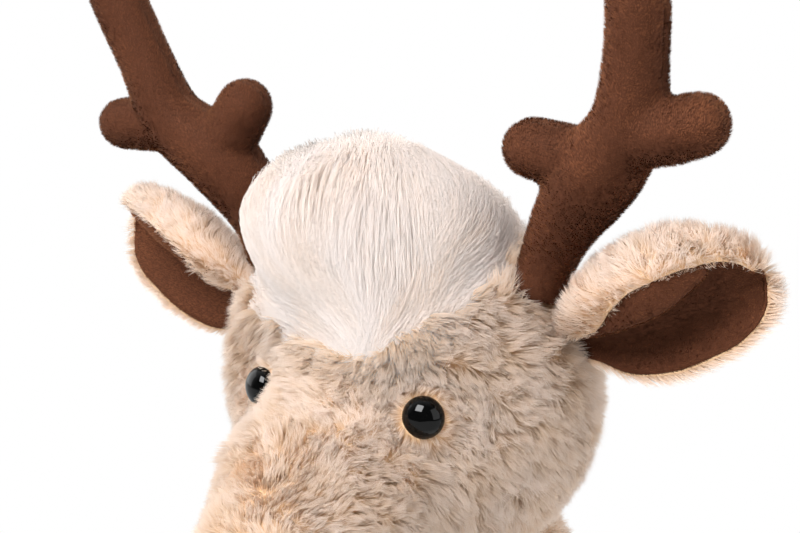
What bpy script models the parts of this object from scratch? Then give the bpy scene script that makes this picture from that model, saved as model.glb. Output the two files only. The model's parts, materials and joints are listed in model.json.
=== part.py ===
"""Plush deer, sitting: fabric covers, stuffing, eyes, antlers and ears as separate solids.

Metres, +Z up. The deer faces -Y and its left side is +X. The origin is the middle of the
flat seat that it rests on. Every cover is sized to the dense part of its pile.
"""

import math

import bmesh
import bpy
from mathutils import Matrix, Quaternion, Vector

# Overall forms
HEAD_WIDTH = 0.154
HEAD_HEIGHT = 0.1415
HEAD_LENGTH = 0.166
BODY_WIDTH = 0.137
BODY_DEPTH = 0.130
BODY_HEIGHT = 0.146

NECK_RISE = 0.004
NECK_RADIUS = 0.032

# Fabric, seams and clearances
PILE_WALL = 0.0055
NAP_WALL = 0.0028
TOUCH_GAP = 0.0003
FILL_GAP = 0.0008
JOINT_GAP = 0.0005
SWEEP_GAP = 0.0012
SEAT_CUT = 0.0005
SEAT_PANEL_THICKNESS = 0.0030
PELLET_FILL_HEIGHT = 0.040
OVERRUN = 0.060
MERGE_DISTANCE = 0.00001

# How far the sewn joints bend; the shapes beside them are cut clear over these ranges
NOD_DOWN_DEGREES = 15
NOD_UP_DEGREES = 12
RIGHT_ANTLER_BEND_DEGREES = 8
EAR_DROOP_DEGREES = 20
EAR_LIFT_DEGREES = 5

# Antlers, measured from the root ball's centre
ANTLER_ROOT_RADIUS = 0.0138
ANTLER_RISE = 0.139
ANTLER_REACH = 0.064
ANTLER_LEAN = 0.036
ANTLER_BEAM_RADIUS = 0.0112
ANTLER_TINE_RADIUS = 0.0104
ANTLER_MOUTH_RADIUS = 0.0030

# Ears, measured from the root ball's centre
EAR_ROOT_RADIUS = 0.0095
EAR_LENGTH = 0.076
EAR_HALF_HEIGHT = 0.0235
EAR_FOLD_DEPTH = 0.019
EAR_RISE_DEGREES = 25
EAR_SWEEP_DEGREES = 4
EAR_ROLL_DEGREES = 20
EAR_BACK_THICKNESS = 0.0050
EAR_LINING_THICKNESS = 0.0016
EAR_ANTLER_GAP = 0.0035

# Eyes, nose and forelock
EYE_RADIUS = 0.0075
EYE_DOME = 0.0062
EYE_TURN_DEGREES = 20
EYE_LIFT_DEGREES = 8
EYE_POCKET_GAP = 0.0004
SHANK_RADIUS = 0.0020
SHANK_LENGTH = 0.0110
WASHER_RADIUS = 0.0070
WASHER_THICKNESS = 0.0014
WASHER_SETBACK = 0.0058
WASHER_BORE_GAP = 0.0003
WASHER_POCKET_GAP = 0.0010
NOSE_WIDTH = 0.036
NOSE_HEIGHT = 0.026
NOSE_DEPTH = 0.020
FORELOCK_WIDTH = 0.116
FORELOCK_DEPTH = 0.084
FORELOCK_HEIGHT = 0.093
FORELOCK_ANTLER_GAP = 0.0050

# Front legs, from the shoulder ball's centre
SHOULDER_RADIUS = 0.0165
FRONT_LEG_OUT = 0.016
FRONT_LEG_FORWARD = 0.072
FRONT_LEG_DROP = 0.034
FRONT_LEG_RADIUS = 0.0150

# Hind legs, from the hip ball's centre
HIP_HEIGHT = 0.0285
HIP_RADIUS = 0.0240
HIND_LEG_OUT = 0.030
HIND_LEG_FORWARD = 0.100
HIND_LEG_RADIUS = 0.0215
HIND_FOOT_RADIUS = 0.0233

# Tail, from its root ball's centre
TAIL_ROOT_RADIUS = 0.0085
TAIL_LENGTH = 0.046
TAIL_RADIUS = 0.0135
TAIL_RISE_DEGREES = 35

# Roots and seats: across, forward and up by the sizes of the form that they are sewn to.
# From the seat, by the body's sizes
neck_seat_shares = (0, 0.1615, 1)
shoulder_seat_shares = (0.3577, 0.0462, 0.7671)
hip_seat_shares = (0.3504, 0.2308, 0)
tail_seat_shares = (0, -0.4538, 0.3014)
# From the neck's centre, by the head's sizes
head_seat_shares = (0, 0.0783, 0.3180)
# From the head's centre, by the head's sizes
antler_seat_shares = (0.3831, 0.0542, 0.3110)
ear_seat_shares = (0.4545, 0.0060, 0.1625)
eye_seat_shares = (0.2312, 0.2717, -0.0007)
forelock_seat_shares = (0, 0.1325, 0.3463)

# Head rings from the back to the muzzle: along, half width, half height, centre's rise
head_ring_shares = [
    (0.030, 0.200, 0.200, 0.020),
    (0.130, 0.372, 0.372, 0.010),
    (0.290, 0.484, 0.492, 0.000),
    (0.450, 0.490, 0.490, -0.005),
    (0.580, 0.368, 0.415, -0.035),
    (0.665, 0.286, 0.275, -0.125),
    (0.745, 0.264, 0.242, -0.225),
    (0.850, 0.222, 0.198, -0.300),
    (0.955, 0.160, 0.142, -0.335),
]
head_centre_along_share = 0.36

# Body rings from the seat to the neck: up, half width, half depth, shift forward
body_ring_shares = [
    (0.000, 0.200, 0.200, 0.000),
    (0.000, 0.370, 0.370, 0.000),
    (0.090, 0.465, 0.465, 0.000),
    (0.290, 0.502, 0.502, 0.010),
    (0.530, 0.482, 0.484, 0.015),
    (0.740, 0.405, 0.412, 0.020),
    (0.900, 0.300, 0.310, 0.035),
    (0.985, 0.160, 0.165, 0.060),
]

# Antler branches: across by the reach, up by the rise, radius by the branch's radius
antler_beam_shares = [(0.00, 0.00, 1.10), (0.13, 0.15, 1.06), (0.33, 0.28, 1.12),
                      (0.57, 0.40, 1.16), (0.66, 0.55, 1.02), (0.70, 0.74, 0.98),
                      (0.70, 0.92, 0.92)]
antler_inner_tine_shares = [(0.36, 0.27, 0.90), (0.16, 0.31, 1.04), (-0.04, 0.395, 0.98)]
antler_outer_tine_shares = [(0.52, 0.38, 0.90), (0.78, 0.41, 1.04), (1.00, 0.425, 0.96)]
antler_tip_share = 0.62
antler_bend_share = 0.22
antler_bend_across_share = 0.24

# Ear outline: along, half height, fold depth
ear_station_shares = [(-0.02, 0.26, 0.20), (0.10, 0.40, 0.42), (0.26, 0.74, 0.80),
                      (0.48, 1.02, 1.00), (0.70, 1.05, 0.92), (0.87, 0.86, 0.70),
                      (0.97, 0.52, 0.42), (1.00, 0.20, 0.30)]
# Across the ear from the upper rim to the lower rim: height, depth
ear_across_shares = [(0.84, 0.95), (1.00, 0.50), (0.62, 0.12), (0.00, 0.00), (-0.48, 0.22),
                     (-0.88, 0.72)]

# Limb rings: along, radius by the limb's radius, bow by the limb's radius
front_leg_ring_shares = [(0.02, 0.66, 0.00), (0.14, 1.00, 0.05), (0.42, 0.98, 0.14),
                         (0.74, 1.00, 0.06), (1.02, 1.10, 0.00), (1.14, 0.66, 0.00)]
front_hoof_seam_share = 0.76
hind_leg_ring_shares = [(0.02, 0.70, 0.00), (0.14, 1.08, 0.03), (0.44, 1.06, 0.00),
                        (0.76, 1.00, -0.03), (1.02, 1.12, -0.06), (1.16, 0.70, -0.06)]
hind_hoof_seam_share = 0.78
tail_ring_shares = [(0.00, 0.45, 0.00), (0.30, 0.95, 0.00), (0.68, 1.00, 0.08),
                    (0.96, 0.50, 0.16)]
tail_flat_share = 0.66
nose_ring_shares = [(0.06, 0.62), (0.50, 1.00), (0.94, 0.62)]
nose_height_share = -0.335
nose_ahead_share = 0.04
# Forelock rings from the crown to its point: down, size, shift forward
forelock_ring_shares = [(0.04, 0.42, 0.00), (0.27, 0.94, 0.00), (0.50, 0.99, 0.00),
                        (0.68, 0.76, 0.00), (0.84, 0.48, 0.09), (0.97, 0.18, 0.15)]

FINE_SIDES = 10
PLAIN_SIDES = 8
COARSE_SIDES = 6
FEW_SIDES = 4
SMOOTHING = 1
SIDEWAYS = Vector((1, 0, 0))
FORWARDS = Vector((0, 1, 0))
UPWARDS = Vector((0, 0, 1))
BALL_SEGMENTS = 20
BALL_RINGS = 6
SMALL_SEGMENTS = 12
TURN = 2 * math.pi
SIDES = {"left": 1, "right": -1}

CREAM = ("cream_long_pile", "DCC5AC", 0.9)
WHITE = ("white_long_pile", "EFE6DF", 0.85)
BROWN = ("brown_velboa", "6B3F28", 0.8)
FILL = ("polyester_fill", "F2F1EC", 1.0)
GLOSS = ("black_eye_plastic", "0A0908", 0.08)
WASHER = ("washer_plastic", "D8D8D4", 0.5)
LINEN = ("pellet_bag_cloth", "E3DFD2", 0.9)


def linear(hex_colour):
    channels = [int(hex_colour[i:i + 2], 16) / 255 for i in (0, 2, 4)]
    return [c / 12.92 if c <= 0.04045 else ((c + 0.055) / 1.055) ** 2.4 for c in channels]


def material(look):
    name, hex_colour, roughness = look
    found = bpy.data.materials.get(name)
    if found:
        return found
    made = bpy.data.materials.new(name)
    made.use_nodes = True
    shader = made.node_tree.nodes["Principled BSDF"]
    shader.inputs["Base Color"].default_value = (*linear(hex_colour), 1)
    shader.inputs["Roughness"].default_value = roughness
    shader.inputs["Metallic"].default_value = 0
    made.diffuse_color = (*linear(hex_colour), 1)
    return made


def collection(name):
    made = bpy.data.collections.new(name)
    bpy.context.scene.collection.children.link(made)
    return made


def new_object(name, mesh, origin, look=None):
    """Link a piece to the deer, or a guide to the cutters when it has no look."""
    thing = bpy.data.objects.new(name, mesh)
    thing.location = origin
    if look:
        mesh.materials.append(material(look))
        DEER.objects.link(thing)
    else:
        thing.hide_render = True
        thing.display_type = "WIRE"
        CUTTERS.objects.link(thing)
    return thing


def finish_mesh(name, bm, smooth=True):
    bmesh.ops.recalc_face_normals(bm, faces=bm.faces)
    mesh = bpy.data.meshes.new(name)
    bm.to_mesh(mesh)
    bm.free()
    if smooth:
        mesh.shade_smooth()
    return mesh


def subdivide(thing):
    swell = thing.modifiers.new("Swell", "SUBSURF")
    swell.levels = SMOOTHING
    swell.render_levels = SMOOTHING


def combine(target, other, operation):
    step = target.modifiers.new(operation.title(), "BOOLEAN")
    step.operation = operation
    step.solver = "EXACT"
    step.object = other


def cut(target, *cutters):
    for cutter in cutters:
        combine(target, cutter, "DIFFERENCE")


def cage_growth(sides):
    """How far outside the wanted circle a ring of the cage has to stand."""
    return 4 / (3 + math.cos(TURN / sides))


def loft(name, rings, origin, look=None, sides=PLAIN_SIDES):
    """A closed soft form: rings of (centre, half axis, half axis) under subdivision."""
    bm = bmesh.new()
    grow = cage_growth(sides)
    loops = []
    for centre, across, up in rings:
        loop = []
        for i in range(sides):
            angle = TURN * (i + 0.5) / sides
            offset = across * math.cos(angle) + up * math.sin(angle)
            loop.append(bm.verts.new(centre - origin + grow * offset))
        loops.append(loop)
    for near, far in zip(loops, loops[1:]):
        for i in range(sides):
            j = (i + 1) % sides
            bm.faces.new((near[i], near[j], far[j], far[i]))
    bm.faces.new(loops[0])
    bm.faces.new(loops[-1])
    thing = new_object(name, finish_mesh(name, bm), origin, look)
    subdivide(thing)
    return thing


def ball(name, centre, radius, axis, look=None, origin=None):
    """A ball whose poles lie on the hinge's axis, so that it turns clear of its socket."""
    bm = bmesh.new()
    bmesh.ops.create_uvsphere(bm, u_segments=BALL_SEGMENTS, v_segments=BALL_RINGS, radius=radius)
    origin = centre if origin is None else origin
    turn = UPWARDS.rotation_difference(axis).to_matrix().to_4x4()
    bmesh.ops.transform(bm, verts=bm.verts, matrix=Matrix.Translation(centre - origin) @ turn)
    return new_object(name, finish_mesh(name, bm), origin, look)


def rod(name, start, end, radius, look=None, origin=None):
    bm = bmesh.new()
    line = end - start
    turn = UPWARDS.rotation_difference(line).to_matrix().to_4x4()
    origin = start if origin is None else origin
    place = Matrix.Translation((start + end) / 2 - origin) @ turn
    bmesh.ops.create_cone(bm, cap_ends=True, segments=SMALL_SEGMENTS, radius1=radius,
                          radius2=radius, depth=line.length, matrix=place)
    return new_object(name, finish_mesh(name, bm, smooth=False), origin, look)


def half_space(name, point, normal):
    """A large block whose face passes through the point, lying on the normal's side."""
    bm = bmesh.new()
    size = 2 * (HEAD_LENGTH + OVERRUN)
    turn = UPWARDS.rotation_difference(normal).to_matrix().to_4x4()
    place = Matrix.Translation(normal.normalized() * size / 2) @ turn
    bmesh.ops.create_cube(bm, size=size, matrix=place)
    return new_object(name, finish_mesh(name, bm, smooth=False), point)


def sided(side, across, along, up):
    return Vector((side * across, along, up))


# Places that several pieces share

def on_body(shares, side=1):
    across, forward, up = shares
    return sided(side, across * BODY_WIDTH, -forward * BODY_DEPTH, up * BODY_HEIGHT)


def on_head(shares, side=1):
    across, forward, up = shares
    return sided(side, across * HEAD_WIDTH, -forward * HEAD_LENGTH, up * HEAD_HEIGHT)


def neck_point():
    return on_body(neck_seat_shares) + UPWARDS * NECK_RISE


def head_point():
    return neck_point() + on_head(head_seat_shares)


def antler_root(side):
    return head_point() + on_head(antler_seat_shares, side)


def ear_root(side):
    return head_point() + on_head(ear_seat_shares, side)


def shoulder_point(side):
    return on_body(shoulder_seat_shares, side)


def hip_point(side):
    return on_body(hip_seat_shares, side) + UPWARDS * HIP_HEIGHT


def tail_point():
    return on_body(tail_seat_shares)


def shrink(place, middle, size, inset):
    return middle + (place - middle) * (size - 2 * inset) / size


def head_rings(inset=0.0):
    centre = head_point()
    rings = []
    for along, wide, high, rise in head_ring_shares:
        reach = shrink(along * HEAD_LENGTH, HEAD_LENGTH / 2, HEAD_LENGTH, inset)
        place = Vector((0, head_centre_along_share * HEAD_LENGTH - reach, rise * HEAD_HEIGHT))
        rings.append((centre + place,
                      Vector((wide * HEAD_WIDTH - inset, 0, 0)),
                      Vector((0, 0, high * HEAD_HEIGHT - inset))))
    return rings


def body_rings(inset=0.0):
    rings = []
    for up, wide, deep, forward in body_ring_shares:
        height = shrink(up * BODY_HEIGHT, BODY_HEIGHT / 2, BODY_HEIGHT, inset)
        rings.append((Vector((0, -forward * BODY_DEPTH, height - SEAT_CUT)),
                      Vector((wide * BODY_WIDTH - inset, 0, 0)),
                      Vector((0, deep * BODY_DEPTH - inset, 0))))
    return rings


def limb_rings(start, end, radius, shares, inset=0.0, flat=1.0):
    """Rings along a limb that bows upwards a little between its ends."""
    line = end - start
    across = line.cross(UPWARDS).normalized()
    up = across.cross(line).normalized()
    rings = []
    for along, wide, bow in shares:
        reach = shrink(along * line.length, line.length / 2, line.length + radius, inset)
        size = wide * radius - inset
        rings.append((start + line.normalized() * reach + up * bow * radius,
                      across * size, up * (flat * wide * radius - inset)))
    return rings


def swept_head(name, hinge, axis, degrees_list, gap=SWEEP_GAP):
    """Copies of the head, a little larger, turned about a hinge: what a neighbour must clear."""
    copies = []
    for number, degrees in enumerate(degrees_list):
        copy = loft(f"{name}_{number}", head_rings(-gap), hinge, sides=FINE_SIDES)
        copy.rotation_mode = "QUATERNION"
        copy.rotation_quaternion = Quaternion(axis, math.radians(degrees))
        copies.append(copy)
    return copies


# Head

def eye_frame(side):
    """The middle of the eye's back face and the way that the eye looks."""
    centre = head_point() + on_head(eye_seat_shares, side)
    turn, lift = math.radians(EYE_TURN_DEGREES), math.radians(EYE_LIFT_DEGREES)
    look = sided(side, math.sin(turn) * math.cos(lift), -math.cos(turn) * math.cos(lift),
                 math.sin(lift))
    return centre, look


def nose_form(name, grow=0.0, look=None):
    """A rounded pad, wider than it is high, sunk a little into the muzzle's tip."""
    muzzle_end = head_rings()[-1][0].y
    middle = Vector((0, muzzle_end - nose_ahead_share * NOSE_DEPTH,
                     head_point().z + nose_height_share * HEAD_HEIGHT))
    rings = []
    for along, wide in nose_ring_shares:
        y = (0.5 - along) * (NOSE_DEPTH + 2 * grow)
        rings.append((middle + Vector((0, y, 0)),
                      Vector((wide * NOSE_WIDTH / 2 + grow, 0, 0)),
                      Vector((0, 0, wide * NOSE_HEIGHT / 2 + grow))))
    return loft(name, rings, neck_point(), look)


def forelock_form(name, look=None):
    """The thick white pile on the crown, narrowing towards the brow."""
    middle = head_point() + on_head(forelock_seat_shares)
    rings = []
    for down, wide, forward in forelock_ring_shares:
        place = Vector((0, -forward * FORELOCK_DEPTH, (0.5 - down) * FORELOCK_HEIGHT))
        rings.append((middle + place,
                      Vector((wide * FORELOCK_WIDTH / 2, 0, 0)),
                      Vector((0, wide * FORELOCK_DEPTH / 2, 0))))
    return loft(name, rings, neck_point(), look, FINE_SIDES)


def turned_eye(name, centre, look):
    """A dome with its ribless shank, turned about the way that it looks."""
    steps = SMALL_SEGMENTS // 4
    outline = [(EYE_RADIUS * math.sin(TURN / 4 * i / steps), EYE_DOME * math.cos(TURN / 4 * i / steps))
               for i in range(steps + 1)]
    outline += [(SHANK_RADIUS, 0), (SHANK_RADIUS, -SHANK_LENGTH), (0, -SHANK_LENGTH)]
    bm = bmesh.new()
    chain = [bm.verts.new((across, 0, up)) for across, up in outline]
    for a, b in zip(chain, chain[1:]):
        bm.edges.new((a, b))
    mesh = bpy.data.meshes.new(name)
    bm.to_mesh(mesh)
    bm.free()
    eye = new_object(name, mesh, centre, GLOSS)
    eye.rotation_mode = "QUATERNION"
    eye.rotation_quaternion = UPWARDS.rotation_difference(look)
    screw = eye.modifiers.new("Turned", "SCREW")
    screw.steps = SMALL_SEGMENTS
    screw.render_steps = SMALL_SEGMENTS
    screw.use_merge_vertices = True
    screw.merge_threshold = MERGE_DISTANCE
    screw.use_smooth_shade = True


def build_eye(word, side, head_cover, head_stuffing):
    centre, look = eye_frame(side)
    turned_eye(f"{word}_eye", centre, look)
    washer_front = centre - look * WASHER_SETBACK
    washer = rod(f"{word}_eye_washer", washer_front - look * WASHER_THICKNESS, washer_front,
                 WASHER_RADIUS, WASHER, neck_point())
    bore = rod(f"{word}_shank_bore", centre - look * (SHANK_LENGTH + TOUCH_GAP),
               centre + look * EYE_DOME, SHANK_RADIUS + WASHER_BORE_GAP)
    cut(washer, bore)
    pocket = rod(f"{word}_eye_pocket", centre - look * TOUCH_GAP, centre + look * OVERRUN,
                 EYE_RADIUS + EYE_POCKET_GAP)
    washer_room = rod(f"{word}_washer_room", centre - look * (SHANK_LENGTH + 2 * TOUCH_GAP),
                      washer_front + look * TOUCH_GAP, WASHER_RADIUS + WASHER_POCKET_GAP)
    cut(head_cover, pocket, bore, washer_room)
    cut(head_stuffing, pocket, bore, washer_room)


def build_head():
    origin = neck_point()
    cover = loft("head_cover", head_rings(), origin, CREAM, FINE_SIDES)
    cavity = loft("head_cavity", head_rings(PILE_WALL), origin, sides=COARSE_SIDES)
    stuffing = loft("head_stuffing", head_rings(PILE_WALL + FILL_GAP), origin, FILL,
                    COARSE_SIDES)
    cut(cover, cavity)

    sockets = [ball("neck_socket", neck_point(), NECK_RADIUS + JOINT_GAP, SIDEWAYS)]
    for word, side in SIDES.items():
        sockets.append(ball(f"{word}_antler_socket", antler_root(side),
                            ANTLER_ROOT_RADIUS + JOINT_GAP, SIDEWAYS))
        sockets.append(ball(f"{word}_ear_socket", ear_root(side),
                            EAR_ROOT_RADIUS + JOINT_GAP, FORWARDS))
    cut(cover, *sockets)
    cut(stuffing, *sockets)
    for word, side in SIDES.items():
        build_eye(word, side, cover, stuffing)

    nose_form("nose", look=BROWN)
    nose_seat = nose_form("nose_seat", grow=TOUCH_GAP)
    cut(cover, nose_seat)
    cut(stuffing, nose_seat)

    forelock = forelock_form("forelock", WHITE)
    cut(forelock, loft("forelock_base", head_rings(-TOUCH_GAP), origin, sides=FINE_SIDES))
    for word, side in SIDES.items():
        cut(forelock, ball(f"{word}_antler_room", antler_root(side),
                           ANTLER_ROOT_RADIUS + FORELOCK_ANTLER_GAP, SIDEWAYS))


# Antlers

def antler_tube(name, side, shares, size, inset, look=None):
    """One stuffed branch: rings along its line, each square to it, with a rounded end."""
    root = antler_root(side)
    points = []
    for across, up, wide in shares:
        place = sided(side, across * ANTLER_REACH, -ANTLER_LEAN * up, up * ANTLER_RISE)
        if side == SIDES["right"] and up > antler_bend_share:
            place = bend(place)
        points.append((root + place, wide * size - inset))
    (start, wide), (following, _) = points[:2]
    points[0] = (start + (following - start).normalized() * inset, wide)
    (before, _), (last, radius) = points[-2:]
    tip_radius = radius * antler_tip_share
    points.append((last + (last - before).normalized() * tip_radius, tip_radius))
    rings = []
    for i, (place, radius) in enumerate(points):
        ahead, behind = points[min(i + 1, len(points) - 1)][0], points[max(i - 1, 0)][0]
        line = (ahead - behind).normalized()
        across = line.cross(-FORWARDS).normalized()
        rings.append((place, across * radius, line.cross(across) * radius))
    return loft(name, rings, root, look, FEW_SIDES if inset else COARSE_SIDES)


def bend(place):
    """The right antler's upper part has sagged outwards a little about the beam's middle."""
    pivot = sided(-1, antler_bend_across_share * ANTLER_REACH, -ANTLER_LEAN * antler_bend_share,
                  antler_bend_share * ANTLER_RISE)
    turn = Quaternion(FORWARDS, math.radians(-RIGHT_ANTLER_BEND_DEGREES))
    return pivot + turn @ (place - pivot)


def antler_form(name, side, inset=0.0, look=None):
    """The beam with its inner and outer tine as one body."""
    beam = antler_tube(name, side, antler_beam_shares, ANTLER_BEAM_RADIUS, inset, look)
    tines = {"inner": antler_inner_tine_shares, "outer": antler_outer_tine_shares}
    for word, shares in tines.items():
        tine = antler_tube(f"{name}_{word}_tine", side, shares, ANTLER_TINE_RADIUS, inset)
        combine(beam, tine, "UNION")
    return beam


def build_antler(word, side):
    """A cover with its root ball, hollow above it and open by a bore through the ball."""
    root = antler_root(side)
    cover = antler_form(f"{word}_antler_cover", side, look=BROWN)
    combine(cover, ball(f"{word}_antler_ball", root, ANTLER_ROOT_RADIUS, SIDEWAYS), "UNION")
    cut(cover, antler_form(f"{word}_antler_cavity", side, NAP_WALL),
        rod(f"{word}_antler_mouth", root - UPWARDS * 2 * ANTLER_ROOT_RADIUS,
            root + UPWARDS * ANTLER_ROOT_RADIUS / 2, ANTLER_MOUTH_RADIUS))
    antler_form(f"{word}_antler_stuffing", side, NAP_WALL + FILL_GAP, FILL)


# Ears

def ear_frame(side):
    """The ear's length, height and facing directions: it rises outwards and faces down a bit."""
    rise, sweep = math.radians(EAR_RISE_DEGREES), math.radians(EAR_SWEEP_DEGREES)
    length = sided(side, math.cos(rise) * math.cos(sweep), -math.cos(rise) * math.sin(sweep),
                   math.sin(rise))
    facing = (-FORWARDS - length * length.dot(-FORWARDS)).normalized()
    height = length.cross(facing) * -side
    roll = math.radians(EAR_ROLL_DEGREES)
    return (length, height * math.cos(roll) + facing * math.sin(roll),
            facing * math.cos(roll) - height * math.sin(roll))


def ear_sheet(name, side, stations, thickness, face, gap, look):
    """A leaf folded along its middle, thickened to the front or back of its sewn face."""
    length, height, facing = ear_frame(side)
    bm = bmesh.new()
    rows = []
    for along, tall, deep in stations:
        row = []
        for up, front in ear_across_shares:
            place = (length * along * EAR_LENGTH + height * up * tall * EAR_HALF_HEIGHT
                     + facing * front * deep * EAR_FOLD_DEPTH)
            row.append(bm.verts.new(place))
        rows.append(row)
    for row, following in zip(rows, rows[1:]):
        for i in range(len(row) - 1):
            bm.faces.new((row[i], row[i + 1], following[i + 1], following[i]))
    bm.normal_update()
    if sum((f.normal for f in bm.faces), Vector()).dot(facing) < 0:
        bmesh.ops.reverse_faces(bm, faces=bm.faces)
    bm.normal_update()
    for vert, normal in [(v, v.normal.copy()) for v in bm.verts]:
        vert.co += normal * gap
    mesh = bpy.data.meshes.new(name)
    bm.to_mesh(mesh)
    bm.free()
    mesh.shade_smooth()
    sheet = new_object(name, mesh, ear_root(side), look)
    subdivide(sheet)
    solid = sheet.modifiers.new("Thickness", "SOLIDIFY")
    solid.thickness = thickness
    solid.offset = face
    solid.use_even_offset = True
    return sheet


def build_ear(word, side):
    root = ear_root(side)
    back = ear_sheet(f"{word}_ear_back", side, ear_station_shares, EAR_BACK_THICKNESS, -1, 0,
                     CREAM)
    lining = ear_sheet(f"{word}_ear_lining", side, ear_station_shares[1:], EAR_LINING_THICKNESS,
                       1, TOUCH_GAP, BROWN)
    clear = swept_head(f"{word}_ear_clearance", root, FORWARDS * side,
                       (EAR_LIFT_DEGREES, 0, -EAR_DROOP_DEGREES / 2, -EAR_DROOP_DEGREES))
    clear.append(ball(f"{word}_ear_antler_room", antler_root(side),
                      ANTLER_ROOT_RADIUS + EAR_ANTLER_GAP, SIDEWAYS))
    cut(back, *clear)
    cut(lining, ball(f"{word}_ear_ball_room", root, EAR_ROOT_RADIUS + TOUCH_GAP, FORWARDS))
    combine(back, ball(f"{word}_ear_ball", root, EAR_ROOT_RADIUS, FORWARDS), "UNION")


# Limbs

def build_limb(words, root, axis, root_radius, end, radius, shares, seam_share, guards, floor):
    """A stuffed leg: a long-pile cover with its root ball, a short-nap hoof and the fill."""
    line = end - root
    seam, direction = root + line * seam_share, line.normalized()
    outer = limb_rings(root, end, radius, shares)
    cavity = loft(f"{words}_cavity", limb_rings(root, end, radius, shares, PILE_WALL), root,
                  sides=COARSE_SIDES)
    cut(cavity, guards[1])

    cover = loft(f"{words}_cover", outer, root, CREAM)
    cut(cover, guards[0])
    combine(cover, ball(f"{words}_ball", root, root_radius, axis), "UNION")
    cut(cover, cavity, half_space(f"{words}_seam_front", seam, direction), floor)

    hoof = loft(f"{words}_hoof", outer, root, BROWN)
    cut(hoof, cavity, half_space(f"{words}_seam_back", seam + direction * TOUCH_GAP, -direction),
        floor)

    fill = limb_rings(root, end, radius, shares, PILE_WALL + FILL_GAP)
    cut(loft(f"{words}_stuffing", fill, root, FILL, COARSE_SIDES), guards[2])


def build_front_leg(word, side, guards, floor):
    root = shoulder_point(side)
    end = root + sided(side, FRONT_LEG_OUT, -FRONT_LEG_FORWARD, -FRONT_LEG_DROP)
    build_limb(f"{word}_front_leg", root, SIDEWAYS, SHOULDER_RADIUS, end, FRONT_LEG_RADIUS,
               front_leg_ring_shares, front_hoof_seam_share, guards, floor)


def build_hind_leg(word, side, guards, floor):
    root = hip_point(side)
    end = root + sided(side, HIND_LEG_OUT, -HIND_LEG_FORWARD, 0)
    end.z = HIND_FOOT_RADIUS - SEAT_CUT
    build_limb(f"{word}_hind_leg", root, UPWARDS, HIP_RADIUS, end, HIND_LEG_RADIUS,
               hind_leg_ring_shares, hind_hoof_seam_share, guards, floor)


def build_tail(guards):
    root = tail_point()
    rise = math.radians(TAIL_RISE_DEGREES)
    end = root + Vector((0, math.cos(rise), math.sin(rise))) * TAIL_LENGTH
    rings = limb_rings(root, end, TAIL_RADIUS, tail_ring_shares, flat=tail_flat_share)
    cover = loft("tail", rings, root, CREAM)
    cut(cover, guards[0])
    combine(cover, ball("tail_ball", root, TAIL_ROOT_RADIUS, SIDEWAYS), "UNION")


# Body

def build_body(floor):
    origin = Vector((0, 0, 0))
    cover = loft("body_cover", body_rings(), origin, CREAM, FINE_SIDES)
    panel = loft("seat_panel", body_rings(), origin, CREAM, FINE_SIDES)
    cavity = loft("body_cavity", body_rings(PILE_WALL), origin, sides=COARSE_SIDES)
    inside = body_rings(PILE_WALL + FILL_GAP)
    stuffing = loft("body_stuffing", inside, origin, FILL, COARSE_SIDES)
    bag = loft("seat_pellet_bag", inside, origin, LINEN, COARSE_SIDES)

    panel_top = UPWARDS * SEAT_PANEL_THICKNESS
    bag_top = UPWARDS * PELLET_FILL_HEIGHT
    gap = UPWARDS * TOUCH_GAP
    nods = (-NOD_UP_DEGREES, -NOD_UP_DEGREES / 2, 0, NOD_DOWN_DEGREES / 2, NOD_DOWN_DEGREES)
    wall, seam = SWEEP_GAP + PILE_WALL, SWEEP_GAP + PILE_WALL + FILL_GAP
    cut(cover, *swept_head("nodding_head", neck_point(), SIDEWAYS, nods))
    cut(cavity, *swept_head("wall_below_head", neck_point(), SIDEWAYS, nods[::2], wall))
    cut(stuffing, *swept_head("fill_below_head", neck_point(), SIDEWAYS, nods[::2], seam))
    cut(cover, cavity, half_space("cover_bottom", panel_top + gap, -UPWARDS))
    neck = ball("neck_ball", neck_point(), NECK_RADIUS, SIDEWAYS, origin=origin)
    combine(cover, neck, "UNION")
    cut(stuffing, ball("neck_ball_room", neck_point(), NECK_RADIUS + TOUCH_GAP, SIDEWAYS))
    cut(panel, half_space("panel_top", panel_top, UPWARDS), floor)
    cut(bag, half_space("bag_bottom", panel_top + gap, -UPWARDS),
        half_space("bag_top", bag_top, UPWARDS))
    cut(stuffing, half_space("fill_bottom", bag_top + gap, -UPWARDS))

    for word, side in SIDES.items():
        shoulder = ball(f"{word}_shoulder_socket", shoulder_point(side),
                        SHOULDER_RADIUS + JOINT_GAP, SIDEWAYS)
        hip = ball(f"{word}_hip_socket", hip_point(side), HIP_RADIUS + JOINT_GAP, UPWARDS)
        cut(cover, shoulder, hip)
        cut(stuffing, shoulder, hip)
        cut(bag, hip)
    tail = ball("tail_socket", tail_point(), TAIL_ROOT_RADIUS + JOINT_GAP, SIDEWAYS)
    cut(cover, tail)
    cut(stuffing, tail)
    cut(bag, tail)


def body_guards():
    """The body grown by a gap, by a gap and a wall, and by both with a seam: what limbs clear."""
    origin = Vector((0, 0, 0))
    gaps = (SWEEP_GAP, SWEEP_GAP + PILE_WALL, SWEEP_GAP + PILE_WALL + FILL_GAP)
    return [loft(f"body_guard_{i}", body_rings(-gap), origin, sides=FINE_SIDES)
            for i, gap in enumerate(gaps)]


def main():
    floor = half_space("floor_cut", Vector((0, 0, 0)), -UPWARDS)
    guards = body_guards()
    build_body(floor)
    build_head()
    build_tail(guards)
    for word, side in SIDES.items():
        build_antler(word, side)
        build_ear(word, side)
        build_front_leg(word, side, guards, floor)
        build_hind_leg(word, side, guards, floor)


for thing in list(bpy.data.objects):
    bpy.data.objects.remove(thing, do_unlink=True)
DEER = collection("plush_deer")
CUTTERS = collection("cutters")
main()
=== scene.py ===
import json
import math

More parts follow.
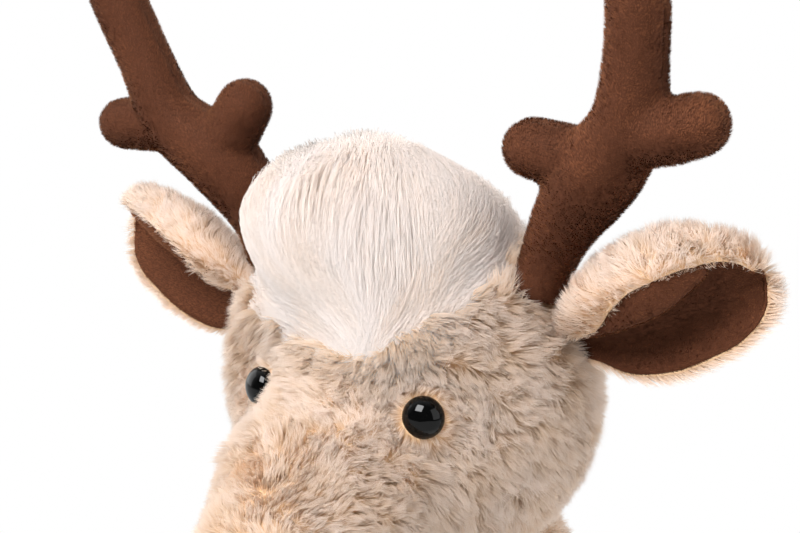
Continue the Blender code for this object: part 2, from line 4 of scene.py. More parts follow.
import bmesh
import bpy
import numpy as np
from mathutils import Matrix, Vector
from mathutils.bvhtree import BVHTree
from mathutils.kdtree import KDTree


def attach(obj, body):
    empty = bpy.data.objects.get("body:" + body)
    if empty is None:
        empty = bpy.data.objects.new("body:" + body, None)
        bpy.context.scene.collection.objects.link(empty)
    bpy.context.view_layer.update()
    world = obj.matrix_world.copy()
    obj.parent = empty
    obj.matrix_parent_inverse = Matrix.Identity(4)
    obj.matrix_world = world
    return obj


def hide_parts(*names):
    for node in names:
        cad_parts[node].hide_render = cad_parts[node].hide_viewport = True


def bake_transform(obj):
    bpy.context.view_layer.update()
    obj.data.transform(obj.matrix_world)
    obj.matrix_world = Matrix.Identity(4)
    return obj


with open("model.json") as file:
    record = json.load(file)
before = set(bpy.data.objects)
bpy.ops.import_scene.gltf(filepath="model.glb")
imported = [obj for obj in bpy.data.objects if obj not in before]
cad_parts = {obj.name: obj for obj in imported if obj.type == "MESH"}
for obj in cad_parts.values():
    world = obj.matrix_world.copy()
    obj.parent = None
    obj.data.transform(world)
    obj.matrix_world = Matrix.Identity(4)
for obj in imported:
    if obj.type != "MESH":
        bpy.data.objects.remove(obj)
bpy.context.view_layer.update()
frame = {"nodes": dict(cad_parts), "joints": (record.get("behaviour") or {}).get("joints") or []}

# The deer sits facing -Y with its left side at +X. Metres, +Z up, as in the part.
SIDES = {"left": 1, "right": -1}
RIGHTWARDS = np.array([1.0, 0.0, 0.0])
BACKWARDS = np.array([0.0, 1.0, 0.0])
UPWARDS = np.array([0.0, 0.0, 1.0])
TURN = 2 * math.pi
MM_PER_M = 1000
MM2_PER_M2 = 1e6

# Overall forms, as the part has them
HEAD_WIDTH = 0.154
HEAD_HEIGHT = 0.1415
HEAD_LENGTH = 0.166
HEAD_FROM_NECK = np.array([0, -0.013, 0.045])
BODY_WIDTH = 0.137
BODY_DEPTH = 0.130
BODY_HEIGHT = 0.146

# Long-pile plush: how far its backing lies below the part's surface, and the pile on it
BACKING_INSET = 0.0042
CREAM_PILE = 0.0100
BODY_PILE = 0.0100
PILE_WIDTH = 0.00021
PILE_PER_MM2 = 4.8
BODY_PILE_WIDTH = 0.00038
BODY_PILE_PER_MM2 = 1.5
# Clumps of strands: how far apart they are, and how much they draw together
CLUMPS = ((0.0058, 0.15), (0.0021, 0.20))
STRANDS_KEPT = 1
STRAND_WIDENING = 1
# How unlike each other strands and clumps are: lengths, widths, tint, and the way they lie
STRAND_LENGTHS = (0.78, 1.10)
STRAND_WIDTHS = (0.75, 1.25)
CLUMP_LENGTHS = (0.88, 1.08)
STRAND_TINTS = 0.10
CLUMP_TINTS = 0.08
STRAND_WAYS = 0.30
SWIRL_SIZE = 0.030
LAID_DEGREES = 76
TINT_LIMITS = (0.02, 0.98)
# A strand as a ribbon: how far it turns on itself, narrows at the tip and shades along its line
RIBBON_TURN = 0.35
RIBBON_TAPER = 0.55
RIBBON_SOFTNESS = 0.12
# Pile with more triangles than this is made as several pieces
MOST_TRIANGLES = 190000
# The bottom of the pile, just clear of the floor
PILE_FLOOR = 0.0004
NAP_FLOOR = 0.0002

# Velboa, the short nap of antlers, ear linings, nose and hooves
NAP_INSET = 0.0004
NAP_LENGTH = 0.0014
NAP_WIDTH = 0.00024
NAP_PER_MM2 = 6.0
NAP_LEAN_DEGREES = 42
NAP_CLUMPS = ((0.0020, 0.15),)
NAP_FILLING_INSET = 0.0035
ANTLER_CELL = 0.0012
SEAM_DEPTH = 0.0007
SEAM_WIDTH = 0.09
# Painted shade on each antler's nap: a little on the left one, much more on the far right one
ANTLER_PAINTED_SHADE = {"left": 0.05, "right": 0.45}

# Forelock
FORELOCK_WIDTH = 0.116
FORELOCK_DEPTH = 0.084
FORELOCK_HEIGHT = 0.093
FORELOCK_FROM_HEAD = np.array([0, -0.022, 0.049])
FORELOCK_INSET = 0.0050
FORELOCK_PER_MM2 = 4.4
FORELOCK_STRAND = 0.040
FORELOCK_STRAND_WIDTH = 0.00017
FORELOCK_LOFT = 0.0036
FORELOCK_REACH = 0.060
FORELOCK_BEYOND = 0.008
FORELOCK_SOFTENING = 18
FORELOCK_TIP_FROM_HEAD = np.array([0.0100, -0.0525, 0.0160])
FORELOCK_FRONT_REACH = 0.066
FORELOCK_BACK_REACH = 0.052
FORELOCK_SEWN_IN = 0.0008
FORELOCK_BACKING = 0.003
FORELOCK_STEPS = 5
FORELOCK_LEAST_LOFT = 0.0005
PARTING_WIDTH = 0.0022
BROW_BEHIND = 0.010
FORELOCK_CLUMPS = ((0.0070, 0.10), (0.0024, 0.05))
CROWN_STRAND = 0.022
CROWN_BACK = -0.008

# Face: how far in front of the middle the muzzle's own lie and its shorter pile begin, and
# where they are complete
MUZZLE_LIE = (0.080, 0.115)
MUZZLE_SHORT = (0.085, 0.125)

# Eyes
EYE_RADIUS = 0.0075
EYE_DOME = 0.0062
EYE_BEVEL = 0.0003
EYE_RIM = 0.0006
EYE_FROM_HEAD = np.array([0.0356, -0.0451, -0.0001])
EYE_TURN_DEGREES = 20
EYE_LIFT_DEGREES = 8
EYE_SHANK_RADIUS = 0.0020
EYE_SHANK_LENGTH = 0.0110
EYE_BARE = 0.0066
EYE_PARTED = 0.0190
EYE_SEAT_DEPTH = 0.0018
EYE_SOCKET_DEPTH = 0.0050
FILLING_INSET = 0.0068

# Nose
NOSE_WIDTH = 0.036
NOSE_HEIGHT = 0.026
NOSE_DEPTH = 0.020
NOSE_FROM_HEAD = np.array([0, -0.0996, -0.0474])
NOSE_ROUNDNESS = 0.7

# Ears, from the root ball's centre
EAR_LENGTH = 0.076
EAR_HALF_HEIGHT = 0.0235
EAR_FOLD_DEPTH = 0.019
EAR_RISE_DEGREES = 25
EAR_SWEEP_DEGREES = 4
EAR_ROLL_DEGREES = 20
EAR_PANEL = 0.0022
EAR_LINING = 0.0007
EAR_PILE = 0.0076
EAR_PILE_PER_MM2 = PILE_PER_MM2 * 1.6
LINING_NAP = 0.0012

# Limbs and tail
FRONT_LEG_LINE = np.array([0.016, -0.072, -0.034])
FRONT_LEG_RADIUS = 0.0150
HIND_LEG_LINE = np.array([0.030, -0.100, -0.0057])
HIND_LEG_RADIUS = 0.0215
TAIL_LENGTH = 0.046
TAIL_RADIUS = 0.0135
TAIL_RISE_DEGREES = 35
TAIL_FLAT = 0.66
SEAT_PANEL_RADIUS = 0.046
SEAT_PANEL_THICKNESS = 0.0030

# Camera and lamps
CAMERA_PLACE = (0.2536, -0.4193, 0.3184)
CAMERA_AZIMUTH_DEGREES = 33.8
CAMERA_ELEVATION_DEGREES = 10.0
CAMERA_LENS = 55.26
SENSOR_WIDTH = 36.0
BACKDROP_WAY = (-0.52, 0.79, 0.32)
BACKDROP_EDGES = (-0.2, 0.5)
ROOM_LIGHT = 0.60
BACKDROP_LIGHT = 0.90
ROOM_MIRRORED = 0.10
BACKDROP_MIRRORED = 1.0
FLOOR_HALF = 1.5
FLOOR_FADE = (0.16, 0.27)
# Softboxes: azimuth, elevation, distance from the head, size and power
softboxes = {"key_softbox": (-2, 44, 0.80, 0.40, 8.8), "side_softbox": (-80, 18, 0.90, 0.70, 2.3),
             "fill_softbox": (85, 20, 1.00, 0.80, 3.2), "rim_softbox": (190, 40, 0.90, 0.60, 3.0)}

# Head rings from the back to the muzzle: along, half width, half height, centre's rise
head_ring_shares = [(0.006, 0.085, 0.085, 0.020), (0.030, 0.200, 0.200, 0.020),
                    (0.130, 0.372, 0.372, 0.010), (0.290, 0.484, 0.492, 0.000),
                    (0.450, 0.490, 0.490, -0.005), (0.580, 0.368, 0.415, -0.035),
                    (0.665, 0.286, 0.275, -0.125), (0.745, 0.264, 0.242, -0.225),
                    (0.850, 0.222, 0.198, -0.300), (0.955, 0.160, 0.142, -0.335),
                    (0.990, 0.070, 0.062, -0.335)]
head_centre_along_share = 0.36

# Body rings from the seat to the neck: up, half width, half depth, shift forward
body_ring_shares = [(0.000, 0.370, 0.370, 0.000), (0.090, 0.465, 0.465, 0.000),
                    (0.290, 0.502, 0.502, 0.010), (0.530, 0.482, 0.484, 0.015),
                    (0.740, 0.405, 0.412, 0.020), (0.900, 0.300, 0.310, 0.035),
                    (0.985, 0.160, 0.165, 0.060)]
pile_heights_on_body = (0.004, 0.140)
# Seat panel rings: height, and size by the panel's radius
seat_ring_shares = [(0.0002, 0.30), (0.0002, 0.75), (0.0003, 0.96), (0.0010, 1.0),
                    (0.0022, 0.99), (SEAT_PANEL_THICKNESS, 0.95), (SEAT_PANEL_THICKNESS, 0.4)]
# Neck rings: height, place from back to front and radius
neck_ring_places = [(0.108, -0.014, 0.030), (0.118, -0.018, 0.036), (0.130, -0.022, 0.037),
                    (0.142, -0.026, 0.036), (0.154, -0.030, 0.030)]

# Where the white pile parts, from the crown to the brow: across and up from the head
forelock_parting = [(0.0402, 0.0696), (0.0343, 0.0585), (0.0239, 0.0444), (0.0091, 0.0276)]
# Forelock rings from the crown to its point: down, size, shift forward
forelock_ring_shares = [(0.00, 0.16, 0.00), (0.04, 0.42, 0.00), (0.27, 0.94, 0.00),
                        (0.50, 0.99, 0.00), (0.68, 0.76, 0.00), (0.84, 0.48, 0.09),
                        (0.97, 0.18, 0.15), (1.00, 0.06, 0.16)]
# Lower edge of the white pile from the deer's right to its left: across and up from the head
forelock_edge_shares = [(-0.060, 0.0320), (-0.0428, 0.0265), (-0.0235, 0.0231), (-0.0058, 0.0199),
                        (0.0100, 0.0175), (0.0207, 0.0242), (0.0335, 0.0329), (0.0433, 0.0404),
                        (0.0502, 0.0472), (0.0538, 0.0564), (0.0580, 0.0680)]

# Limb rings: along, radius by the limb's radius, bow by the limb's radius
front_leg_ring_shares = [(0.02, 0.66, 0.00), (0.14, 1.00, 0.05), (0.42, 0.98, 0.14),
                         (0.74, 1.00, 0.06), (1.02, 1.10, 0.00), (1.14, 0.66, 0.00)]
front_hoof_seam_share = 0.76
hind_leg_ring_shares = [(0.02, 0.70, 0.00), (0.14, 1.08, 0.03), (0.44, 1.06, 0.00),
                        (0.76, 1.00, -0.03), (1.02, 1.12, -0.06), (1.16, 0.70, -0.06)]
hind_hoof_seam_share = 0.78
tail_ring_shares = [(0.00, 0.45, 0.00), (0.30, 0.95, 0.00), (0.68, 1.00, 0.08),
                    (0.96, 0.50, 0.16)]

# Ear outline: along, half height above and below the middle, fold depth
ear_stations = {
    "left": [(-0.02, 0.26, 0.26, 0.20), (0.10, 0.40, 0.44, 0.42), (0.26, 0.74, 0.76, 0.80),
             (0.48, 1.00, 0.90, 1.00), (0.70, 1.00, 0.86, 0.92), (0.80, 0.92, 0.80, 0.82),
             (0.89, 0.70, 0.66, 0.64), (0.95, 0.44, 0.46, 0.46), (0.98, 0.20, 0.22, 0.36)],
    "right": [(-0.02, 0.26, 0.60, 0.20), (0.10, 0.40, 1.06, 0.42), (0.26, 0.74, 1.30, 0.80),
              (0.48, 1.00, 1.26, 1.00), (0.70, 0.92, 1.12, 0.92), (0.80, 0.78, 1.04, 0.82),
              (0.89, 0.56, 0.88, 0.62), (0.95, 0.34, 0.62, 0.34), (0.98, 0.16, 0.28, 0.20)],
}
# The upper rim is folded forward and down: along the ear, and its place across it
ear_rim_shares = {
    "left": [(0.00, 0.38), (0.27, 0.36), (0.39, 0.56), (0.53, 0.69), (0.72, 0.72), (0.82, 0.74),
             (0.90, 0.84), (0.98, 0.92)],
    "right": [(0.00, 0.26), (0.20, 0.26), (0.31, 0.46), (0.45, 0.72), (0.66, 0.84), (0.79, 0.88),
              (0.90, 0.90), (0.98, 0.94)],
}
# Across the ear after the upper rim, round the fold to the lower rim: place and depth
ear_across_shares = [(0.88, 0.86), (1.00, 0.48), (0.64, 0.12), (0.00, 0.00), (-0.48, 0.22),
                     (-0.84, 0.70)]
# The lining after the upper rim: where it lies flat, and under the pleat it hangs in
lining_flat_shares = [(0.80, 0.84), (0.90, 0.50), (0.72, 0.22), (0.42, 0.08), (0.00, 0.00),
                      (-0.46, 0.21), (-0.82, 0.68)]
lining_low_shares = [(-0.16, 0.08), (-0.48, 0.23), (-0.82, 0.68)]
# How far the pleat's crease hangs below the rim: along the ear, and metres
lining_crease_drops = [(0.20, 0.0), (0.29, 0.0016), (0.40, 0.0070), (0.54, 0.0106),
                       (0.67, 0.0094), (0.75, 0.0070), (0.82, 0.0042), (0.89, 0.0)]
lining_crease_share = {"left": 1.0, "right": 0.5}
# Columns of the lining's sheet, counted from the upper rim: the hollow behind the crease, which
# painted shadow darkens, and where the part that faces the light, with painted light on it, ends
painted_shadow_column, painted_shadow_width = 23, 4.5
painted_light_columns = 12

# Antler branches from the root ball's centre: outwards, back, up and radius
antler_points = {
    "left": {
        "beam": [(0.000, 0.000, -0.004, 0.0092), (0.006, -0.002, 0.010, 0.0098),
                 (0.0138, -0.006, 0.023, 0.0116), (0.0270, -0.0115, 0.040, 0.0144),
                 (0.0395, -0.0175, 0.0560, 0.0120), (0.0440, -0.023, 0.0755, 0.0098),
                 (0.0462, -0.028, 0.096, 0.0094), (0.0468, -0.033, 0.122, 0.0091)],
        "inner_tine": [(0.0300, -0.0125, 0.043, 0.0098), (0.0150, -0.0120, 0.0452, 0.0104),
                       (0.0040, -0.0125, 0.0474, 0.0099)],
        "outer_tine": [(0.0380, -0.0175, 0.053, 0.0100), (0.0520, -0.0190, 0.0545, 0.0102),
                       (0.0632, -0.0200, 0.0572, 0.0098)]},
    "right": {
        "beam": [(0.000, 0.000, -0.004, 0.0100), (0.003, -0.002, 0.011, 0.0112),
                 (0.0085, -0.006, 0.024, 0.0132), (0.0198, -0.0115, 0.0390, 0.0146),
                 (0.0365, -0.0180, 0.0530, 0.0124), (0.0440, -0.023, 0.0740, 0.0104),
                 (0.0530, -0.028, 0.0980, 0.0104), (0.0600, -0.033, 0.1210, 0.0098)],
        "inner_tine": [(0.0200, -0.0115, 0.0360, 0.0110), (0.0090, -0.0120, 0.0500, 0.0108),
                       (0.0030, -0.0125, 0.0580, 0.0104)],
        "outer_tine": [(0.0350, -0.0175, 0.0500, 0.0104), (0.0510, -0.0190, 0.0500, 0.0104),
                       (0.0610, -0.0200, 0.0500, 0.0100)]},
}


# Small helpers

def unit(vectors):
    size = np.linalg.norm(vectors, axis=-1, keepdims=True)
    return vectors / np.maximum(size, 1e-12)


def dot(a, b):
    return (a * b).sum(-1, keepdims=True)


def sided(side, place):
    return np.array(place) * (side, 1, 1)


def ease(value, low, high):
    """0 at low, 1 at high, and smooth between them."""
    share = np.clip((value - low) / (high - low), 0, 1)
    return share * share * (3 - 2 * share)


def through(keys, steps):
    """Rows on a smooth curve through the keys, with some steps between each two."""
    keys = np.asarray(keys, float)
    ends = np.concatenate([[2 * keys[0] - keys[1]], keys, [2 * keys[-1] - keys[-2]]])
    a, b, c, d = ends[:-3], ends[1:-2], ends[2:-1], ends[3:]
    rows = []
    for t in np.arange(steps) / steps:
        rows.append((2 * b + (c - a) * t + (2 * a - 5 * b + 4 * c - d) * t**2
                     + (3 * b - a - 3 * c + d) * t**3) / 2)
    rows = np.stack(rows, 1).reshape(-1, *keys.shape[1:])
    return np.concatenate([rows, keys[-1:]])


def drift(points, size, seed):
    """A smooth random vector at each point that changes over about that size."""
    rng = np.random.default_rng(seed)
    total = np.zeros_like(points)
    for _ in range(7):
        wave = unit(rng.normal(size=3)) * TURN / size * rng.uniform(0.35, 1.0)
        total += rng.normal(size=3) * np.sin(points @ wave + rng.uniform(0, TURN))[:, None]
    return total / 2


def bearing(azimuth, elevation):
    """The way from the deer out to a bearing, 0 being its front, and so many degrees up."""
    a, e = math.radians(azimuth), math.radians(elevation)
    return np.array((math.sin(a) * math.cos(e), -math.cos(a) * math.cos(e), math.sin(e)))


def nearest_of(places):
    """A function that gives, for each of some points, the number of the place nearest to it."""
    tree = KDTree(len(places))
    for i, place in enumerate(places):
        tree.insert(place, i)
    tree.balance()
    return lambda points: np.array([tree.find(point)[1] for point in points])


def hinge(name):
    return np.array(next(joint["pos_m"] for joint in frame["joints"] if joint["name"] == name))


NECK = hinge("neck_nod")
HEAD = NECK + HEAD_FROM_NECK


# Materials

def linear(hex_colour):
    channels = [int(hex_colour[i:i + 2], 16) / 255 for i in (0, 2, 4)]
    return [c / 12.92 if c <= 0.04045 else ((c + 0.055) / 1.055) ** 2.4 for c in channels] + [1]


def add(material, kind, sockets=None, **settings):
    """Adds a node with its settings; a socket takes a value or another node's output.

    The stops of a colour ramp are places, rising, with their colours."""
    made = material.node_tree.nodes.new(kind)
    for key, value in settings.items():
        if key != "stops":
            setattr(made, key, value)
    for number, (place, hex_colour) in enumerate(settings.get("stops", [])):
        elements = made.color_ramp.elements
        element = elements[number] if number < 2 else elements.new(1.0)
        element.position = place
        element.color = linear(hex_colour)
    for socket, value in (sockets or {}).items():
        if isinstance(value, bpy.types.NodeSocket):
            material.node_tree.links.new(value, made.inputs[socket])
        else:
            made.inputs[socket].default_value = value
    return made


def new_material(name):
    made = bpy.data.materials.new(name)
    made.use_nodes = True
    made.node_tree.nodes.clear()
    return made


def finish(material, shader):
    add(material, "ShaderNodeOutputMaterial", {"Surface": shader.outputs[0]})
    return material


def pile_material(name, low_stops, high_stops, roughness, sheen, sheen_colour, seen_through):
    """Fibres coloured from root to tip, between two ramps that the tint picks from: two shades of
    the same dye lot, and for the velboa a shaded and a lit copy of its brown, for painted shade and
    painted sheen.
    """
    made = new_material(name)
    place = add(made, "ShaderNodeUVMap", uv_map="OFBake")
    parts = add(made, "ShaderNodeSeparateXYZ", {"Vector": place.outputs["UV"]})
    low = add(made, "ShaderNodeValToRGB", {"Fac": parts.outputs["Y"]}, stops=low_stops)
    high = add(made, "ShaderNodeValToRGB", {"Fac": parts.outputs["Y"]}, stops=high_stops)
    colour = add(made, "ShaderNodeMix", {"Factor": parts.outputs["X"], 6: low.outputs["Color"],
                                         7: high.outputs["Color"]}, data_type="RGBA")
    fibre = add(made, "ShaderNodeBsdfPrincipled",
                {"Base Color": colour.outputs[2], "Roughness": roughness,
                 "Specular IOR Level": 0.2, "Sheen Weight": sheen,
                 "Sheen Roughness": 0.5, "Sheen Tint": linear(sheen_colour)})
    glow = add(made, "ShaderNodeBsdfTranslucent", {"Color": colour.outputs[2]})
    both = add(made, "ShaderNodeMixShader", {0: seen_through, 1: fibre.outputs[0],
                                             2: glow.outputs[0]})
    return finish(made, both)


def cloth_material(name, hex_colour, weave, depth):
    """Knitted or woven cloth: its yarns, weave metres apart, give a fine uneven surface."""
    made = new_material(name)
    place = add(made, "ShaderNodeTexCoord")
    yarn = add(made, "ShaderNodeTexNoise", {"Vector": place.outputs["Object"],
                                            "Scale": 1 / weave, "Detail": 2.0})
    bump = add(made, "ShaderNodeBump", {"Height": yarn.outputs["Fac"], "Strength": 0.5,
                                        "Distance": depth})
    shader = add(made, "ShaderNodeBsdfPrincipled",
                 {"Base Color": linear(hex_colour), "Roughness": 0.95,
                  "Specular IOR Level": 0.2, "Normal": bump.outputs["Normal"]})
    return finish(made, shader)


def moulded_material(name, hex_colour, roughness, gloss):
    """Injection-moulded plastic: one colour right through, with the mould's own polish."""
    made = new_material(name)
    shader = add(made, "ShaderNodeBsdfPrincipled",
                 {"Base Color": linear(hex_colour), "Roughness": roughness, "IOR": 1.49,
                  "Specular IOR Level": gloss})
    return finish(made, shader)


# Polyester faux fur: tan roots, cream tips. The roots' tan is partly the dye and partly painted
# shade deep in the pile, which reads as golden shade between clumps
CREAM_PLUSH = pile_material(
    "cream_long_pile_plush",
    [(0.0, "D6AE84"), (0.35, "E4C5A2"), (0.70, "EED8C2"), (1.0, "F3E3D5")],
    [(0.0, "E6CAAC"), (0.30, "EED8C2"), (0.70, "F4E4D8"), (1.0, "F7ECE4")], 0.85, 0.2, "FFF4E6",
    0.5)
# Extra long silky faux fur: white with a warm peach cast low down, half lit through
WHITE_PLUSH = pile_material(
    "white_long_pile_plush",
    [(0.0, "EEDCCA"), (0.30, "F1E4D8"), (0.7, "F3EAE3"), (1.0, "F5F0ED")],
    [(0.0, "F2E9E2"), (0.25, "F5EFEC"), (0.7, "F6F2F0"), (1.0, "F7F4F4")], 0.7, 0.2, "FFFFFF",
    0.65)
# Velboa: 1.5 mm polyester nap whose brushed fibres flash lighter where they face the light. Its low
# ramp is a shaded copy and its high ramp a lit copy of the brown, and its lighter tips are painted
# sheen
BROWN_VELBOA = pile_material(
    "brown_velboa",
    [(0.0, "3C2012"), (0.5, "5A321E"), (1.0, "6E4028")],
    [(0.0, "56301C"), (0.5, "844E32"), (1.0, "9E6644")], 0.75, 0.35, "C08A62", 0.25)
# The tan backing, where it shows between the strands, is painted shade deep in the pile
CREAM_BACKING = cloth_material("knitted_backing_tan", "DDBA94", 0.0012, 0.0003)
WHITE_BACKING = cloth_material("knitted_backing_peach", "F0E3D8", 0.0012, 0.0003)
BROWN_BACKING = cloth_material("knitted_backing_brown", "4E2B1A", 0.0010, 0.0002)
SEAT_CLOTH = cloth_material("short_pile_seat_cloth", "CDB08C", 0.0008, 0.0004)
STUFFING = cloth_material("polyester_fibre_fill", "F0EFEA", 0.0030, 0.0012)
BAG_CLOTH = cloth_material("cotton_pellet_bag", "E3DFD2", 0.0006, 0.0002)
# ABS safety eye: black moulded plastic, polished like glass, so it mirrors the lamps
EYE_PLASTIC = moulded_material("polished_black_abs", "030303", 0.05, 0.24)
WASHER_PLASTIC = moulded_material("natural_polypropylene", "DAD9D2", 0.45, 0.5)


# Meshes

def put(name, data, body=None):
    """An object in the scene, riding on a body if one is named."""
    thing = bpy.data.objects.new(name, data)
    bpy.context.scene.collection.objects.link(thing)
    if body:
        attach(thing, body)
    return thing


def new_piece(name, points, faces, look, slot=None, body=None):
    """A smooth mesh piece that faces outwards."""
    mesh = bpy.data.meshes.new(name)
    mesh.from_pydata(np.asarray(points).tolist(), [], faces)
    bm = bmesh.new()
    bm.from_mesh(mesh)
    bmesh.ops.recalc_face_normals(bm, faces=bm.faces)
    bm.to_mesh(mesh)
    bm.free()
    mesh.shade_smooth()
    mesh.materials.append(look)
    return put(name, mesh, body)


def loft_mesh(rings, around=40, steps=5):
    """Points and faces of a closed form through rings of (centre, half axis, half axis)."""
    rows = through(rings, steps)
    angle = TURN * np.arange(around) / around
    grid = (rows[:, None, 0] + np.cos(angle)[None, :, None] * rows[:, None, 1]
            + np.sin(angle)[None, :, None] * rows[:, None, 2])
    points = np.concatenate([grid.reshape(-1, 3), rows[:1, 0], rows[-1:, 0]])
    faces = []
    last = (len(rows) - 1) * around
    for i in range(around):
        j = (i + 1) % around
        faces += [(r + i, r + j, r + around + j, r + around + i) for r in range(0, last, around)]
        faces += [(len(points) - 2, j, i), (len(points) - 1, last + i, last + j)]
    return points, faces


def grid_faces(rows, columns):
    """Faces of a sheet of points, row by row."""
    return [(r * columns + c, r * columns + c + 1, (r + 1) * columns + c + 1, (r + 1) * columns + c)
            for r in range(rows - 1) for c in range(columns - 1)]


def shell_mesh(front, back):
    """Points and faces of a closed panel between two sheets of points, bound along its border."""
    rows, columns = front.shape[:2]
    count = rows * columns
    points = np.concatenate([front.reshape(-1, 3), back.reshape(-1, 3)])
    faces = grid_faces(rows, columns)
    faces += [tuple(count + i for i in reversed(face)) for face in faces]
    border = (list(range(columns)) + [r * columns + columns - 1 for r in range(1, rows)]
              + [(rows - 1) * columns + c for c in range(columns - 2, -1, -1)]
              + [r * columns for r in range(rows - 2, 0, -1)])
    for a, b in zip(border, border[1:] + border[:1]):
        faces.append((a, count + a, count + b, b))
    return points, faces


def surface(*things):
    """Points, normals and triangles of one or more pieces, as arrays."""
    points, normals, triangles, count = [], [], [], 0
    for thing in things:
        mesh = thing.data
        mesh.calc_loop_triangles()
        place = np.empty(len(mesh.vertices) * 3)
        facing = np.empty(len(mesh.vertices) * 3)
        corners = np.empty(len(mesh.loop_triangles) * 3, np.int32)
        mesh.vertices.foreach_get("co", place)
        mesh.vertex_normals.foreach_get("vector", facing)
        mesh.loop_triangles.foreach_get("vertices", corners)
        points.append(place.reshape(-1, 3))
        normals.append(facing.reshape(-1, 3))
        triangles.append(corners.reshape(-1, 3) + count)
        count += len(mesh.vertices)
    return np.concatenate(points), np.concatenate(normals), np.concatenate(triangles)


def tree_of(*things):
    points, _, triangles = surface(*things)
    return BVHTree.FromPolygons(points.tolist(), triangles.tolist())


# Pile

def scatter(skin, per_mm2, rng, keep=None):
    """Roots spread evenly over a skin, with its normals there."""
    points, normals, triangles = skin
    corners = points[triangles]
    area = np.linalg.norm(np.cross(corners[:, 1] - corners[:, 0], corners[:, 2] - corners[:, 0]),
                          axis=1) / 2
    count = int(area.sum() * MM2_PER_M2 * per_mm2 * STRANDS_KEPT)
    chosen = triangles[rng.choice(len(triangles), count, p=area / area.sum())]
    share = rng.random((count, 2))
    over = share.sum(1) > 1
    share[over] = 1 - share[over]
    weight = np.stack([1 - share.sum(1), share[:, 0], share[:, 1]], 1)[:, :, None]
    roots = (points[chosen] * weight).sum(1)
    facing = unit((normals[chosen] * weight).sum(1))
    if keep is None:
        return roots, facing
    stay = rng.random(count) < keep(roots, facing)
    return roots[stay], facing[stay]


def clump_leaders(roots, spacing, per_mm2, rng):
    """For each strand, the strand that its clump gathers round, spacing apart on average."""
    strands_each = max(1.0, per_mm2 * STRANDS_KEPT * (spacing * MM_PER_M) ** 2)
    leaders = rng.choice(len(roots), max(1, int(len(roots) / strands_each)), replace=False)
    return leaders[nearest_of(roots[leaders])(roots)]


def gather(paths, leaders, pull):
    """Draws each strand towards its clump's leader, more at the tip."""
    share = np.linspace(0, 1, paths.shape[1])[None, :, None] ** 1.2
    return paths + (paths[leaders] - paths) * pull * share


def lying(way):
    """A comb that lays all the pile of a skin one way."""
    return lambda points, facing: way + 0 * points


def lay_ribbons(name, body, look, paths, facing, width, tint, rng):
    """Turns strands into tapered ribbons that face outwards and take the skin's shading.

    Facing is the skin's normal, once for each strand or once for each of its points."""
    count, rows = paths.shape[:2]
    steps = rows - 1
    if facing.ndim == 2:
        facing = np.repeat(facing[:, None], rows, 1)
    along = unit(np.diff(paths, axis=1))
    side = unit(np.cross(along, facing[:, :-1]))
    turn = rng.normal(size=(count, 1, 1)) * RIBBON_TURN
    side = side * np.cos(turn) + np.cross(along, side) * np.sin(turn)
    share = np.arange(steps) / steps
    half = width[:, None, None] * (1 - RIBBON_TAPER * share**2)[None, :, None] / 2
    points = np.empty((count, 2 * steps + 1, 3))
    points[:, 0:-1:2] = paths[:, :-1] - side * half
    points[:, 1:-1:2] = paths[:, :-1] + side * half
    points[:, -1] = paths[:, -1]
    normals = np.empty_like(points)
    for k in range(steps):
        lit = facing[:, k] + RIBBON_SOFTNESS * along[:, k]
        normals[:, 2 * k] = normals[:, 2 * k + 1] = lit
    normals[:, -1] = facing[:, -1] + RIBBON_SOFTNESS * along[:, -1]
    normals = unit(normals)
    height = np.append(np.repeat(share, 2), 1.0)
    face = []
    for k in range(steps - 1):
        face += [2 * k, 2 * k + 1, 2 * k + 3, 2 * k + 2]
    face += [2 * steps - 2, 2 * steps - 1, 2 * steps]
    starts = np.arange(steps) * 4
    pieces = []
    most = MOST_TRIANGLES // (2 * steps - 1)
    for number, first in enumerate(range(0, count, most)):
        part = slice(first, min(first + most, count))
        pieces.append(ribbon_piece(f"{name}_{number}" if count > most else name, body, look,
                                   points[part], normals[part], np.array(face), starts, height,
                                   tint[part]))
    return pieces


def ribbon_piece(name, body, look, points, normals, face, starts, height, tint):
    """One piece of many strands, whose shade and place from root to tip its look reads."""
    count, each = points.shape[:2]
    corners = (np.arange(count)[:, None] * each + face[None]).ravel()
    mesh = bpy.data.meshes.new(name)
    mesh.vertices.add(count * each)
    mesh.vertices.foreach_set("co", points.ravel())
    mesh.loops.add(len(corners))
    mesh.loops.foreach_set("vertex_index", corners)
    mesh.polygons.add(count * len(starts))
    mesh.polygons.foreach_set("loop_start",
                              (np.arange(count)[:, None] * len(face) + starts[None]).ravel())
    mesh.update(calc_edges=True)
    mesh.shade_smooth()
    places = mesh.uv_layers.new(name="OFBake")
    shades = np.stack([np.repeat(tint, len(face)), np.tile(height[face], count)], 1)
    places.data.foreach_set("uv", shades.ravel())
    mesh.normals_split_custom_set_from_vertices(normals.reshape(-1, 3))
    mesh.materials.append(look)
    return put(name, mesh, body)


